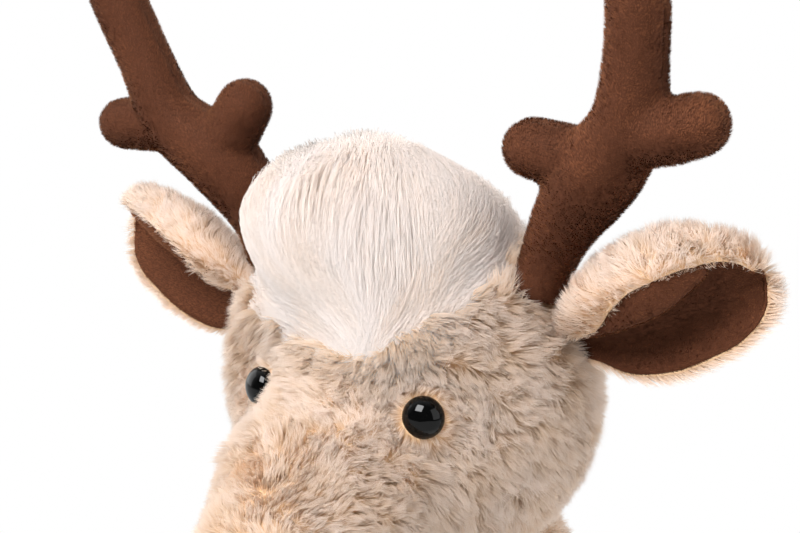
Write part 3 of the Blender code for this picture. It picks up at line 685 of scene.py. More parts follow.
def grow_pile(name, body, skin, look, seed, per_mm2, length, comb, lean=(14, 56),
              width=PILE_WIDTH, clumps=CLUMPS, steps=2, keep=None, uneven=0.42, shade=None,
              floor=None, flat=None):
    """Pile on a skin: comb(roots, normals) gives the way it lies, lean its degrees from upright
    at root and tip, shade(roots, normals) moves its tint and flat(roots) lays it down."""
    rng = np.random.default_rng(seed)
    roots, facing = scatter(skin, per_mm2, rng, keep)
    count = len(roots)
    size = length(roots) if callable(length) else np.full(count, length)
    size = size * rng.uniform(*STRAND_LENGTHS, count)
    lie = unit(comb(roots, facing)) + drift(roots, SWIRL_SIZE, seed + 1) * uneven
    tint = 0.5 + STRAND_TINTS * rng.normal(size=count)
    spread = []
    for spacing, pull in clumps:
        leaders = clump_leaders(roots, spacing, per_mm2, rng)
        lie = lie + rng.normal(size=(count, 3))[leaders] * uneven
        size = size * rng.uniform(*CLUMP_LENGTHS, count)[leaders]
        tint = tint + CLUMP_TINTS * rng.normal(size=count)[leaders]
        spread.append((leaders, pull))
    laid = np.zeros(count) if flat is None else flat(roots)
    lie = lie + rng.normal(size=(count, 3)) * STRAND_WAYS
    lie = lie + (unit(comb(roots, facing)) - lie) * 0.75 * laid[:, None]
    lie = unit(lie - facing * dot(lie, facing))
    paths = [roots]
    for k in range(steps):
        tilt = lean[0] + (lean[1] - lean[0]) * (k + 0.5) / steps
        tilt = np.radians(tilt + (LAID_DEGREES - tilt) * laid)[:, None]
        step = facing * np.cos(tilt) + lie * np.sin(tilt)
        paths.append(paths[-1] + step * (size / steps)[:, None])
    paths = np.stack(paths, 1)
    for leaders, pull in spread:
        paths = gather(paths, leaders, pull)
    if floor is not None:
        paths[..., 2] = np.maximum(paths[..., 2], floor)
    if shade is not None:
        tint = tint + shade(roots, facing)
    thick = width * rng.uniform(*STRAND_WIDTHS, count) * STRAND_WIDENING
    return lay_ribbons(name, body, look, paths, facing, thick, np.clip(tint, *TINT_LIMITS),
                       rng)


# Head

def shrink(place, size, inset):
    """A place along a form, once each of the form's ends is drawn in by an inset."""
    return size / 2 + (place - size / 2) * (size - 2 * inset) / size


def head_rings(inset):
    rings = []
    for along, wide, high, rise in head_ring_shares:
        reach = shrink(along * HEAD_LENGTH, HEAD_LENGTH, inset)
        centre = HEAD + BACKWARDS * (head_centre_along_share * HEAD_LENGTH - reach)
        rings.append((centre + UPWARDS * rise * HEAD_HEIGHT,
                      RIGHTWARDS * max(wide * HEAD_WIDTH - inset, 0.002),
                      UPWARDS * max(high * HEAD_HEIGHT - inset, 0.002)))
    return rings


def eye_frame(side):
    """The middle of an eye and the way that it looks."""
    look = sided(side, bearing(EYE_TURN_DEGREES, EYE_LIFT_DEGREES))
    return HEAD + sided(side, EYE_FROM_HEAD), look


def from_eye(points, side):
    """How far each point is from the line through the eye, and the way out from it."""
    centre, look = eye_frame(side)
    offset = points - centre
    offset = offset - look * (offset @ look)[:, None]
    return np.linalg.norm(offset, axis=1), unit(offset)


def face_comb(points, facing):
    """Pile on the face lies up and back from the muzzle, then down and out over the cheeks."""
    ahead = ease(-points[:, 1], *MUZZLE_LIE)[:, None]
    out = np.sign(points[:, :1]) * ease(np.abs(points[:, :1]), 0.0, 0.03) * RIGHTWARDS
    cheek = BACKWARDS * 0.55 - UPWARDS * 0.85 + out * 0.35
    muzzle = BACKWARDS * 0.8 + UPWARDS * 0.15 + out * 0.5
    lie = cheek * (1 - ahead) + muzzle * ahead
    for side in SIDES.values():
        far, way = from_eye(points, side)
        lie = lie + way * (0.8 * (1 - ease(far, EYE_BARE, EYE_PARTED)))[:, None]
    return lie


def near_eyes(points):
    """1 beside an eye, falling to 0 where the pile stands at its full length again."""
    near = np.zeros(len(points))
    for side in SIDES.values():
        far, _ = from_eye(points, side)
        near = np.maximum(near, (1 - ease(far, EYE_BARE, EYE_PARTED)) * (points[:, 1] < HEAD[1]))
    return near


def face_length(points):
    """The pile is shorter on the muzzle, and clipped round the eyes so that they show."""
    short = ease(-points[:, 1], *MUZZLE_SHORT)
    return CREAM_PILE * (1 - 0.28 * short) * (1 - 0.50 * near_eyes(points))


def above_edge(points):
    """How far a point on the brow is above the lower edge of the white pile."""
    across, up = np.array(forelock_edge_shares).T
    return points[:, 2] - HEAD[2] - np.interp(points[:, 0] - HEAD[0], across, up)


def white_height(points):
    """How far a point is above the white pile's lower edge, which drops behind the antlers."""
    start = np.where(points[:, 0] > 0, HEAD[1] - 0.004, HEAD[1] - 0.016)
    return above_edge(points) + 0.020 * ease(points[:, 1] - start, 0.0, 0.014)


def white_part(points):
    """Whether a point on the brow or crown lies where the pile is white."""
    return white_height(points) + 0.0016 * drift(points, 0.012, 29)[:, 0] > 0


def face_shade(points, facing):
    """Tan roots show where the pile parts at the forelock's near edge, with painted shadow under
    that edge, and the pile is darker in a thin line along the seam by the ear.
    """
    front = (points[:, 1] < HEAD[1]) * ease(points[:, 0], 0.0, 0.015)
    # Painted shadow, with the tan of the roots where the pile parts, just below the white pile's
    # near edge
    parting_and_painted_shadow = (1 - ease(-above_edge(points), 0.001, 0.008)) * front
    by_ear = (points[:, 0] > 0.045) & (points[:, 2] > HEAD[2] - 0.002)
    seam = np.exp(-((points[:, 1] - HEAD[1] + 0.013) / 0.0015) ** 2) * by_ear
    return (0.15 * near_eyes(points) - 0.20 * parting_and_painted_shadow - 0.5 * seam
            + 0.22 * drift(points, 0.013, 28)[:, 0])


def face_keep(forelock_tree):
    """Cream pile stays off the eyes, the white pile and what the neck covers."""
    def keep(points, facing):
        stay = np.ones(len(points))
        for side in SIDES.values():
            far, _ = from_eye(points, side)
            ahead = points[:, 1] < HEAD[1]
            stay[(far < EYE_BARE) & ahead & (np.sign(points[:, 0]) == side)] = 0
        for i in np.flatnonzero(points[:, 2] > HEAD[2]):
            if inside(forelock_tree, points[i], 0.004):
                stay[i] = 0
        stay[points[:, 1] > HEAD[1] + 0.015] *= 0.55
        stay[below_neck(points)] = 0
        stay[white_part(points) & (points[:, 1] < HEAD[1] - BROW_BEHIND)] = 0
        return stay
    return keep


def below_neck(points):
    """The ring of the head that the neck's fabric covers."""
    offset = points - NECK
    return (np.hypot(offset[:, 0], offset[:, 1]) < 0.026) & (points[:, 2] < HEAD[2])


def inside(tree, point, depth):
    """Whether a point is inside a closed form by more than a depth."""
    near, normal, _, _ = tree.find_nearest(Vector(point))
    return near is not None and (near - Vector(point)).dot(normal) > depth


def forelock_rings(inset):
    middle = HEAD + FORELOCK_FROM_HEAD
    rings = []
    for down, wide, forward in forelock_ring_shares:
        height = shrink(down * FORELOCK_HEIGHT, FORELOCK_HEIGHT, inset)
        place = UPWARDS * (FORELOCK_HEIGHT / 2 - height) - BACKWARDS * forward * FORELOCK_DEPTH
        rings.append((middle + place,
                      RIGHTWARDS * max(wide * FORELOCK_WIDTH / 2 - inset, 0.002),
                      BACKWARDS * max(wide * FORELOCK_DEPTH / 2 - inset, 0.002)))
    return rings


def press_sockets(points):
    """The eyes are drawn in by their washers, which dents the face round them."""
    for side in SIDES.values():
        _, look = eye_frame(side)
        far, _ = from_eye(points, side)
        deep = EYE_SEAT_DEPTH + (EYE_SOCKET_DEPTH - EYE_SEAT_DEPTH) * ease(far, 0.007, 0.012)
        deep = deep * (1 - ease(far, 0.012, 0.028))
        deep = deep * (points[:, 1] < HEAD[1]) * (np.sign(points[:, 0]) == side)
        points = points - look * deep[:, None]
    return points


def forelock_sheets():
    """The white pile's backing, as a smooth height over the head's, and its underside.

    Along its lower edge it is sewn down to the head."""
    around, steps = 180, 8
    points, faces = loft_mesh(head_rings(BACKING_INSET), around, steps)
    guide = new_piece("guide", points, faces, WHITE_BACKING)
    _, normals, _ = surface(guide)
    bpy.data.objects.remove(guide)
    rows, trim = (len(points) - 2) // around, around // 60
    upper = slice(trim, around // 2 - trim + 1)
    points = points[:-2].reshape(rows, around, 3)[:, upper].reshape(-1, 3)
    normals = normals[:-2].reshape(rows, around, 3)[:, upper].reshape(-1, 3)
    form = new_piece("guide", *loft_mesh(forelock_rings(FORELOCK_INSET), 40, 5), WHITE_BACKING)
    form_tree = tree_of(form)
    bpy.data.objects.remove(form)
    height = np.zeros(len(points))
    for i, (place, way) in enumerate(zip(points, normals)):
        outside = Vector(place + way * FORELOCK_REACH)
        distance = form_tree.ray_cast(outside, Vector(-way), FORELOCK_REACH)[3]
        if distance is not None:
            height[i] = FORELOCK_REACH - distance
    height = height.reshape(rows, -1)
    for _ in range(FORELOCK_SOFTENING):
        padded = np.pad(height, 1, mode="edge")
        height = (padded[:-2, 1:-1] + padded[2:, 1:-1] + padded[1:-1, :-2] + padded[1:-1, 2:]
                  + 2 * height) / 6
    middle = np.exp(-((points[:, 0] - FORELOCK_TIP_FROM_HEAD[0]) / 0.020) ** 2)
    free = ease(white_height(points), -0.001, 0.026 + 0.024 * middle)
    wider = 1 + 0.30 * ease(-points[:, 0], 0.015, 0.050)
    rise = height.ravel() * free * wider - FORELOCK_SEWN_IN * (1 - free)
    points = press_sockets(points)
    front = (points + normals * rise[:, None]).reshape(rows, -1, 3)
    back = (points - normals * FORELOCK_BACKING).reshape(rows, -1, 3)
    ahead = front[:, front.shape[1] // 2, 1]
    part = (ahead < HEAD[1] + FORELOCK_BACK_REACH) & (ahead > HEAD[1] - FORELOCK_FRONT_REACH)
    return front[part], back[part]


def make_head():
    points, faces = loft_mesh(head_rings(BACKING_INSET), 72, 8)
    skin = new_piece("head_skin", press_sockets(points), faces, CREAM_BACKING,
                     "cream_long_pile", "head")
    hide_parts("head_cover")
    points, faces = loft_mesh(head_rings(FILLING_INSET), 48, 5)
    filling = new_piece("head_filling", press_sockets(points), faces, STUFFING,
                        "polyester_fill", "head")
    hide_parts("head_stuffing")
    front, back = forelock_sheets()
    tuft = new_piece("forelock_skin", *shell_mesh(front, back), WHITE_BACKING, "white_long_pile",
                     "head")
    outer = BVHTree.FromPolygons(front.reshape(-1, 3).tolist(), grid_faces(*front.shape[:2]))
    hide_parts("forelock")
    grow_pile("head_pile", "head", surface(skin), CREAM_PLUSH, 11,
              PILE_PER_MM2, face_length, face_comb, keep=face_keep(tree_of(tuft)),
              shade=face_shade, flat=lambda p: 0.2 * near_eyes(p))
    make_forelock_pile(skin, tuft, outer)


def make_forelock_pile(skin, tuft, outer):
    """Long hair from the crown, following the head down to a point between the eyes."""
    rng = np.random.default_rng(21)
    head_tree, tuft_tree = tree_of(skin), tree_of(tuft)
    upwards = np.sign(outer.find_nearest(Vector(HEAD + UPWARDS * 0.2))[1].z)

    def on_top(points, facing):
        clear = [not inside(head_tree, point, -0.001) for point in points]
        return (white_part(points) & clear).astype(float)

    def on_brow(points, facing):
        front = (points[:, 1] < HEAD[1] - BROW_BEHIND) & (points[:, 2] > HEAD[2])
        clear = [not inside(tuft_tree, point, 0.001) for point in points]
        return (white_part(points) & front & clear).astype(float)

    crown, crown_facing = scatter(surface(tuft), FORELOCK_PER_MM2, rng, on_top)
    brow, brow_facing = scatter(surface(skin), FORELOCK_PER_MM2, rng, on_brow)
    roots = np.concatenate([crown, brow])
    facing = np.concatenate([crown_facing, brow_facing])
    count = len(roots)
    tip = np.array(outer.find_nearest(Vector(HEAD + FORELOCK_TIP_FROM_HEAD))[0])
    tip = tip - UPWARDS * FORELOCK_BEYOND
    away = np.linalg.norm(roots - tip, axis=1)
    front = 1 - ease(roots[:, 1], CROWN_BACK - 0.012, CROWN_BACK + 0.004)
    size = np.minimum(FORELOCK_STRAND * rng.uniform(0.70, 1.1, count), away * 0.95)
    size = np.where(front > 0.5, size, CROWN_STRAND * rng.uniform(0.8, 1.1, count))
    loft = FORELOCK_LOFT * rng.uniform(0.10, 1.0, count) ** 1.3
    loft = loft * (0.35 + 0.65 * ease(away, 0.008, 0.040))
    lie_noise = drift(roots, 0.045, 22) * 0.22
    groups = []
    for spacing, pull in FORELOCK_CLUMPS:
        leaders = clump_leaders(roots, spacing, FORELOCK_PER_MM2, rng)
        lie_noise = lie_noise + rng.normal(size=(count, 3))[leaders] * 0.06
        groups.append((leaders, pull))
    lie_noise = lie_noise + rng.normal(size=(count, 3)) * 0.05
    paths, normals = [roots], [facing]
    for k in range(FORELOCK_STEPS):
        here = paths[-1]
        down = 0.45 * ease(away, 0.015, 0.050) * ease(above_edge(here), 0.004, 0.030)
        ahead = unit(tip - here) * 0.75 - UPWARDS * down[:, None]
        behind = BACKWARDS * 0.8 - UPWARDS * 0.5
        way = unit(ahead * front[:, None] + behind * (1 - front[:, None]) + lie_noise)
        there = here + way * (size / FORELOCK_STEPS)[:, None]
        share = (k + 1) / FORELOCK_STEPS
        rise = loft * math.sin(math.pi * min(1.0, 0.25 + 0.62 * share)) + FORELOCK_LEAST_LOFT
        following, outwards = np.empty_like(there), np.empty_like(there)
        for i, place in enumerate(there):
            near, normal, _, _ = outer.find_nearest(Vector(place))
            outwards[i] = normal * upwards
            following[i] = near + Vector(outwards[i]) * rise[i]
        paths.append(here + unit(following - here) * (size / FORELOCK_STEPS)[:, None])
        normals.append(outwards)
    paths, normals = np.stack(paths, 1), np.stack(normals, 1)
    for leaders, pull in groups:
        paths = gather(paths, leaders, pull)
    line = through(np.array(forelock_parting) + HEAD[[0, 2]], 8)
    apart = np.linalg.norm(roots[:, None, [0, 2]] - line[None], axis=2).min(1)
    tint = (0.74 + 0.06 * rng.normal(size=count) + 0.14 * drift(roots, 0.014, 23)[:, 0]
            - 0.55 * np.exp(-(apart / PARTING_WIDTH) ** 2) * (roots[:, 1] < HEAD[1] - BROW_BEHIND))
    width = FORELOCK_STRAND_WIDTH * rng.uniform(0.7, 1.2, count) * STRAND_WIDENING
    # The strands shade as one soft mass that faces up and forward
    normals = unit(normals * 0.55 + UPWARDS * 0.30 - BACKWARDS * 0.25 + RIGHTWARDS * 0.14)
    lay_ribbons("forelock_pile", "head", WHITE_PLUSH, paths, normals, width,
                np.clip(tint, *TINT_LIMITS), rng)


def make_eye(word, side):
    centre, look = eye_frame(side)
    across = unit(np.cross(look, UPWARDS))
    up = np.cross(across, look)
    outline = [(-EYE_SHANK_LENGTH, EYE_SHANK_RADIUS), (-0.0005, EYE_SHANK_RADIUS),
               (0, EYE_SHANK_RADIUS + 0.0004), (0, EYE_RADIUS - EYE_BEVEL),
               (EYE_BEVEL, EYE_RADIUS)]
    for i in range(1, 18):
        angle = TURN / 4 * i / 18
        reach = EYE_RIM + (EYE_DOME - EYE_RIM) * math.sin(angle)
        outline.append((reach, EYE_RADIUS * math.cos(angle)))
    rings = [(centre + look * reach, across * radius, up * radius) for reach, radius in outline]
    eye = new_piece(f"{word}_eye_dome", *loft_mesh(rings, 64, 1), EYE_PLASTIC,
                    "black_eye_plastic", "head")
    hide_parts(f"{word}_eye")


def make_nose():
    middle = HEAD + NOSE_FROM_HEAD
    rings = []
    for i in range(1, 12):
        angle = TURN / 2 * i / 12
        wide = math.sin(angle) ** NOSE_ROUNDNESS
        rings.append((middle + BACKWARDS * math.cos(angle) * (NOSE_DEPTH / 2 - NAP_INSET),
                      RIGHTWARDS * (NOSE_WIDTH / 2 - NAP_INSET) * wide,
                      UPWARDS * (NOSE_HEIGHT / 2 - NAP_INSET) * wide))
    nose = new_piece("nose_skin", *loft_mesh(rings, 32, 2), BROWN_BACKING, "brown_velboa", "head")
    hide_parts("nose")
    grow_nap("nose_nap", "head", surface(nose), 31, lying(-UPWARDS))


def grow_nap(name, body, skin, seed, comb, per_mm2=NAP_PER_MM2, length=NAP_LENGTH, shade=None,
             floor=None):
    """Velboa nap: short straight fibres brushed one way, a little uneven."""
    return grow_pile(name, body, skin, BROWN_VELBOA, seed, per_mm2, length, comb,
                     lean=(NAP_LEAN_DEGREES,) * 2, width=NAP_WIDTH, clumps=NAP_CLUMPS, steps=1,
                     uneven=0.20, shade=shade, floor=floor)


# Antlers

def tube_rings(points, side, root):
    """Rings square to a branch's line, with a rounded end."""
    keys = through([(sided(side, point[:3]) + root).tolist() + [point[3]] for point in points], 4)
    rings = []
    for i, key in enumerate(keys):
        line = unit(keys[min(i + 1, len(keys) - 1)][:3] - keys[max(i - 1, 0)][:3])
        rings.append((key[:3], line, key[3]))
    tip, line, radius = rings[-1]
    for i in range(1, 6):
        angle = TURN / 4 * i / 6
        rings.append((tip + line * radius * math.sin(angle), line, radius * math.cos(angle)))
    made = []
    for centre, line, radius in rings:
        across = unit(np.cross(line, BACKWARDS))
        made.append((centre, across * radius, np.cross(line, across) * radius))
    return made


def antler_form(name, word, side, root, inset, look, slot):
    """The three branches grown into one soft form."""
    points, faces = np.zeros((0, 3)), []
    for branch in antler_points[word].values():
        slim = [(*place, radius - inset) for *place, radius in branch]
        more, more_faces = loft_mesh(tube_rings(slim, side, root), 28, 1)
        faces += [tuple(len(points) + i for i in face) for face in more_faces]
        points = np.concatenate([points, more])
    form = new_piece(name, points, faces, look, slot)
    merge = form.modifiers.new("Sewn as one", "REMESH")
    merge.mode = "VOXEL"
    merge.voxel_size = ANTLER_CELL
    soften = form.modifiers.new("Stuffed", "SMOOTH")
    soften.factor = 0.5
    soften.iterations = 14
    depsgraph = bpy.context.evaluated_depsgraph_get()
    mesh = bpy.data.meshes.new_from_object(form.evaluated_get(depsgraph))
    form.modifiers.clear()
    form.data = mesh
    mesh.shade_smooth()
    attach(form, f"{word}_antler")
    return form


def make_antler(word, side):
    body = f"{word}_antler"
    root = hinge(f"{word}_antler_tip")
    filling = antler_form(f"{word}_antler_filling", word, side, root, NAP_FILLING_INSET, STUFFING,
                          "polyester_fill")
    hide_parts(f"{word}_antler_stuffing")
    rough = antler_form(f"{word}_antler_skin", word, side, root, 0, BROWN_BACKING, "brown_velboa")
    mesh = rough.data
    ends = [sided(side, antler_points[word][branch][-1][:3])
            for branch in ("beam", "inner_tine", "outer_tine")]
    across = unit(np.cross(ends[0], ends[2] - ends[1]))

    def seam(facing):
        """1 on the seam that joins the front and back panels, falling to 0 beside it."""
        return np.exp(-((facing @ across) / SEAM_WIDTH) ** 2)

    place, facing, _ = surface(rough)
    mesh.vertices.foreach_set("co", (place - facing * SEAM_DEPTH * seam(facing)[:, None]).ravel())
    mesh.update()
    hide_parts(f"{word}_antler_cover")
    # The nap's tint: random patches of painted sheen, darker on the seam, and each antler's painted
    # shade
    grow_nap(f"{word}_antler_nap", body, surface(rough), 41 + side,
             lying(UPWARDS * 0.9 + RIGHTWARDS * 0.2),
             shade=lambda p, n: (0.30 * drift(p, 0.020, 44)[:, 0] - 0.9 * seam(n)
                                 - ANTLER_PAINTED_SHADE[word]))


# Ears

def ear_frame(side):
    """The ways along an ear, up across it, and out of its hollow."""
    rise, sweep = math.radians(EAR_RISE_DEGREES), math.radians(EAR_SWEEP_DEGREES)
    length = sided(side, (math.cos(rise) * math.cos(sweep), -math.cos(rise) * math.sin(sweep),
                          math.sin(rise)))
    facing = unit(-BACKWARDS - length * length.dot(-BACKWARDS))
    height = np.cross(length, facing) * -side
    roll = math.radians(EAR_ROLL_DEGREES)
    return (length, height * math.cos(roll) + facing * math.sin(roll),
            facing * math.cos(roll) - height * math.sin(roll))


def ear_sheet(side, root, stations, across_of):
    """A sheet of points: stations along the ear, and across it from the upper to the lower rim."""
    length, height, facing = ear_frame(side)
    rows = through(stations, 5)
    sheet = []
    for along, above, below, deep in rows:
        across = through(across_of(along), 5)
        tall = np.where(across[:, :1] > 0, above, below)
        sheet.append(root + length * along * EAR_LENGTH
                     + height * (across[:, :1] * tall * EAR_HALF_HEIGHT)
                     + facing * (across[:, 1:] * deep * EAR_FOLD_DEPTH))
    return np.array(sheet)


def sheet_normals(sheet, facing):
    """Normals of a sheet of points, on the side that faces a way on the whole."""
    normals = unit(np.cross(np.gradient(sheet, axis=0), np.gradient(sheet, axis=1)))
    return normals if (normals @ facing).mean() > 0 else -normals


def make_ear(word, side):
    body = f"{word}_ear"
    root = hinge(f"{word}_ear_droop")
    length, height, facing = ear_frame(side)

    def rim_at(along):
        return float(np.interp(along, *np.array(ear_rim_shares[word]).T))

    sheet = ear_sheet(side, root, ear_stations[word],
                      lambda along: [(rim_at(along), 1.0), *ear_across_shares])
    normals = sheet_normals(sheet, facing)
    rows, columns = sheet.shape[:2]
    edge = np.minimum.outer(np.minimum(np.arange(rows), rows - 1 - np.arange(rows)) / 4,
                            np.minimum(np.arange(columns), columns - 1 - np.arange(columns)) / 4)
    thick = EAR_PANEL * (0.35 + 0.65 * ease(edge, 0, 1))[:, :, None]
    back = new_piece(f"{word}_ear_back_skin", *shell_mesh(sheet, sheet - normals * thick),
                     CREAM_BACKING, "cream_long_pile", body)
    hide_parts(f"{word}_ear_back")

    def near_tip(points):
        """0 along the ear's root half, rising to 1 at its tip."""
        place = (points - root) @ length / EAR_LENGTH
        return ease(place, 0.55, 1.0)

    nearest = nearest_of(sheet.reshape(-1, 3))
    low_rim = (edge < 0.3) & (np.arange(columns) > columns * 0.6)
    low_rim |= (np.arange(rows) > rows - 3)[:, None]
    low_rim = low_rim.ravel()
    fold_rim = np.tile(np.arange(columns) < 2, rows)

    def comb(points, normal):
        out = np.sign((points - root) @ height)[:, None] * height
        return length * 0.5 + out * 0.8 + length * near_tip(points)[:, None]

    def keep(points, normal):
        """Pile grows on the back and round the rim, and not over the lining."""
        index = nearest(points)
        towards = (normal * normals.reshape(-1, 3)[index]).sum(1)
        bound = np.where(low_rim[index] | fold_rim[index], 0.90, 0.35)
        return (towards < bound) * np.where(low_rim[index], 1.0, 0.7)

    def pile_length(points):
        """The pile is clipped where the rim folds over the lining."""
        return EAR_PILE * (1 - 0.50 * fold_rim[nearest(points)])

    def flat(points):
        """The lower rim's pile lies outwards, clear of the lining."""
        return low_rim[nearest(points)] * 1.0

    grow_pile(f"{word}_ear_pile", body, surface(back), CREAM_PLUSH, 51 + side,
              EAR_PILE_PER_MM2, pile_length, comb, lean=(20, 64), keep=keep, uneven=0.28,
              shade=lambda p, n: 0.42 + 0 * p[:, 0], flat=flat)

    tall = np.array(ear_stations[word])

    def lining_across(along):
        """From the rim down to the crease, back behind it and on to the lower rim."""
        rim_place = rim_at(along) - 0.01
        drop = float(np.interp(along, *np.array(lining_crease_drops).T))
        drop *= lining_crease_share[word] / EAR_HALF_HEIGHT / np.interp(along, *tall[:, :2].T)
        crease = rim_place - drop
        pleat = np.array([(rim_place, 0.98), (rim_place - drop / 2, 1.02), (crease, 0.95),
                          (crease + 0.07, 0.60), (crease + 0.12, 0.28), *lining_low_shares])
        flat_row = np.array([(rim_place, 0.98), *lining_flat_shares])
        share = float(1 - ease(along, 0.82, 0.92))
        return flat_row * (1 - share) + pleat * share

    lining_sheet = ear_sheet(side, root, ear_stations[word], lining_across)
    lining_normals = sheet_normals(lining_sheet, facing)
    lining = new_piece(f"{word}_ear_lining_skin",
                       *shell_mesh(lining_sheet + lining_normals * EAR_LINING,
                                   lining_sheet + lining_normals * EAR_LINING * 0.2),
                       BROWN_BACKING, "brown_velboa", body)
    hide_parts(f"{word}_ear_lining")
    nearest_on_lining = nearest_of(lining_sheet.reshape(-1, 3))

    def lining_shade(points, normal):
        """Painted shadow in the hollow behind the crease, painted light on the part that faces the
        light and towards the tip, and a little random tone.
        """
        column = nearest_on_lining(points) % lining_sheet.shape[1]
        along = (points - root) @ length / EAR_LENGTH
        hollow = np.exp(-((column - painted_shadow_column) / painted_shadow_width) ** 2)
        hollow = hollow * lining_crease_share[word]
        return (0.10 * drift(points, 0.012, 62)[:, 0] - 0.80 * hollow * (1 - ease(along, 0.7, 0.9))
                + 0.12 * (column < painted_light_columns) + 0.30 * ease(along, 0.70, 0.94))

    grow_nap(f"{word}_ear_lining_nap", body, surface(lining), 61 + side, lying(length),
             length=LINING_NAP, shade=lining_shade)


# Limbs, body and tail

def limb_rings(start, end, radius, shares, inset, flat=1.0):
    """Rings square to a limb's line; flat is their height by their width."""
    line = end - start
    size = np.linalg.norm(line)
    way = line / size
    across = unit(np.cross(line, UPWARDS))
    up = unit(np.cross(across, line))
    rings = []
    for along, wide, bow in shares:
        whole = size + radius
        reach = whole / 2 + (along * size - whole / 2) * (whole - 2 * inset) / whole
        rings.append((start + way * reach + up * bow * radius, across * (wide * radius - inset),
                      up * (flat * wide * radius - inset)))
    return rings


def split_rings(rings, share, steps=5):
    """The rings before and after a seam, with rings between them already worked out."""
    fine = through(rings, steps)
    way = fine[-1][0] - fine[0][0]
    place = ((fine[:, 0] - fine[0][0]) @ way) / (way @ way)
    count = int((place < share).sum())
    return fine[:count], fine[count - 1:]


def close_ends(rings, closing=0.45):
    """Adds a smaller ring just beyond each end, so that the form ends in a soft dome."""
    first, last = rings[0].copy(), rings[-1].copy()
    first[0] += (rings[0][0] - rings[1][0]) * 0.6
    last[0] += (rings[-1][0] - rings[-2][0]) * 0.6
    first[1:] *= closing
    last[1:] *= closing
    return np.concatenate([[first], rings, [last]])


def make_leg(body, root, line, radius, shares, seam, seed):
    """A leg, named for its body, with a velboa hoof beyond the seam."""
    end = root + line
    rings = np.array(limb_rings(root, end, radius, shares, BACKING_INSET))
    cover_rings, _ = split_rings(rings, seam)
    cover = new_piece(f"{body}_cover_skin", *loft_mesh(close_ends(cover_rings), 32, 1),
                      CREAM_BACKING, "cream_long_pile", body)
    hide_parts(f"{body}_cover")
    snug = np.array(limb_rings(root, end, radius, shares, NAP_INSET))
    _, hoof_rings = split_rings(snug, seam)
    hoof = new_piece(f"{body}_hoof_skin", *loft_mesh(close_ends(hoof_rings), 32, 1),
                     BROWN_BACKING, "brown_velboa", body)
    flatten(cover, 0.0006)
    flatten(hoof, 0.0004)
    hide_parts(f"{body}_hoof")
    way = unit(line)
    grow_pile(f"{body}_pile", body, surface(cover), CREAM_PLUSH, seed,
              BODY_PILE_PER_MM2, BODY_PILE, lying(way - UPWARDS * 0.3),
              width=BODY_PILE_WIDTH, floor=PILE_FLOOR)
    grow_nap(f"{body}_hoof_nap", body, surface(hoof), seed + 1, lying(way),
             per_mm2=NAP_PER_MM2 * 0.6, floor=NAP_FLOOR)


def flatten(thing, floor):
    """Presses a soft form flat where it rests."""
    count = len(thing.data.vertices)
    place = np.empty(count * 3)
    thing.data.vertices.foreach_get("co", place)
    place = place.reshape(-1, 3)
    place[:, 2] = np.maximum(place[:, 2], floor)
    thing.data.vertices.foreach_set("co", place.ravel())
    thing.data.update()


def body_rings(inset):
    rings = []
    for up, wide, deep, forward in body_ring_shares:
        height = shrink(up * BODY_HEIGHT, BODY_HEIGHT, inset)
        rings.append((np.array([0, -forward * BODY_DEPTH, height]),
                      RIGHTWARDS * (wide * BODY_WIDTH - inset),
                      BACKWARDS * (deep * BODY_DEPTH - inset)))
    return rings


def make_body():
    points, faces = loft_mesh(body_rings(BACKING_INSET), 48, 6)
    head = new_piece("guide", *loft_mesh(head_rings(-0.004), 40, 4), CREAM_BACKING,
                     "cream_long_pile")
    tree = tree_of(head)
    for i, point in enumerate(points):
        if inside(tree, point, 0):
            points[i] = tree.find_nearest(Vector(point))[0]
    bpy.data.objects.remove(head)
    skin = new_piece("body_skin", points, faces, CREAM_BACKING, "cream_long_pile", "torso")
    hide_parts("body_cover")

    def keep(points, facing):
        lowest, highest = pile_heights_on_body
        return ((points[:, 2] > lowest) & (points[:, 2] < highest)).astype(float)

    grow_pile("body_pile", "torso", surface(skin), CREAM_PLUSH, 71,
              BODY_PILE_PER_MM2, BODY_PILE, lying(-UPWARDS), width=BODY_PILE_WIDTH, keep=keep,
              floor=PILE_FLOOR)

    rings = [(UPWARDS * height, RIGHTWARDS * SEAT_PANEL_RADIUS * wide,
              BACKWARDS * SEAT_PANEL_RADIUS * wide)
             for height, wide in seat_ring_shares]
    panel = new_piece("seat_panel_cloth", *loft_mesh(rings, 56, 1), SEAT_CLOTH,
                      "cream_long_pile", "torso")
    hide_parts("seat_panel")


def make_neck():
    """The neck's fabric, between body and head."""
    rings = []
    for height, back, radius in neck_ring_places:
        rings.append((np.array([0, back, height]), RIGHTWARDS * radius, BACKWARDS * radius))
    skin = new_piece("neck_skin", *loft_mesh(rings, 40, 4), CREAM_BACKING, "cream_long_pile")
    pieces = grow_pile("neck_pile", None, surface(skin), CREAM_PLUSH, 81,
                       BODY_PILE_PER_MM2 * 1.5, BODY_PILE, lying(-UPWARDS),
                       width=BODY_PILE_WIDTH)
    for piece in [skin, *pieces]:
        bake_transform(piece)


def make_tail():
    root = hinge("tail_wag")
    rise = math.radians(TAIL_RISE_DEGREES)
    end = root + np.array([0, math.cos(rise), math.sin(rise)]) * TAIL_LENGTH
    rings = np.array(limb_rings(root, end, TAIL_RADIUS, tail_ring_shares, BACKING_INSET * 0.7,
                                TAIL_FLAT))
    skin = new_piece("tail_skin", *loft_mesh(close_ends(through(rings, 5)), 32, 1), CREAM_BACKING,
                     "cream_long_pile", "tail")
    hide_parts("tail")
    way = unit(end - root)
    grow_pile("tail_pile", "tail", surface(skin), CREAM_PLUSH, 91,
              BODY_PILE_PER_MM2 * 1.4, BODY_PILE, lying(way), width=BODY_PILE_WIDTH)


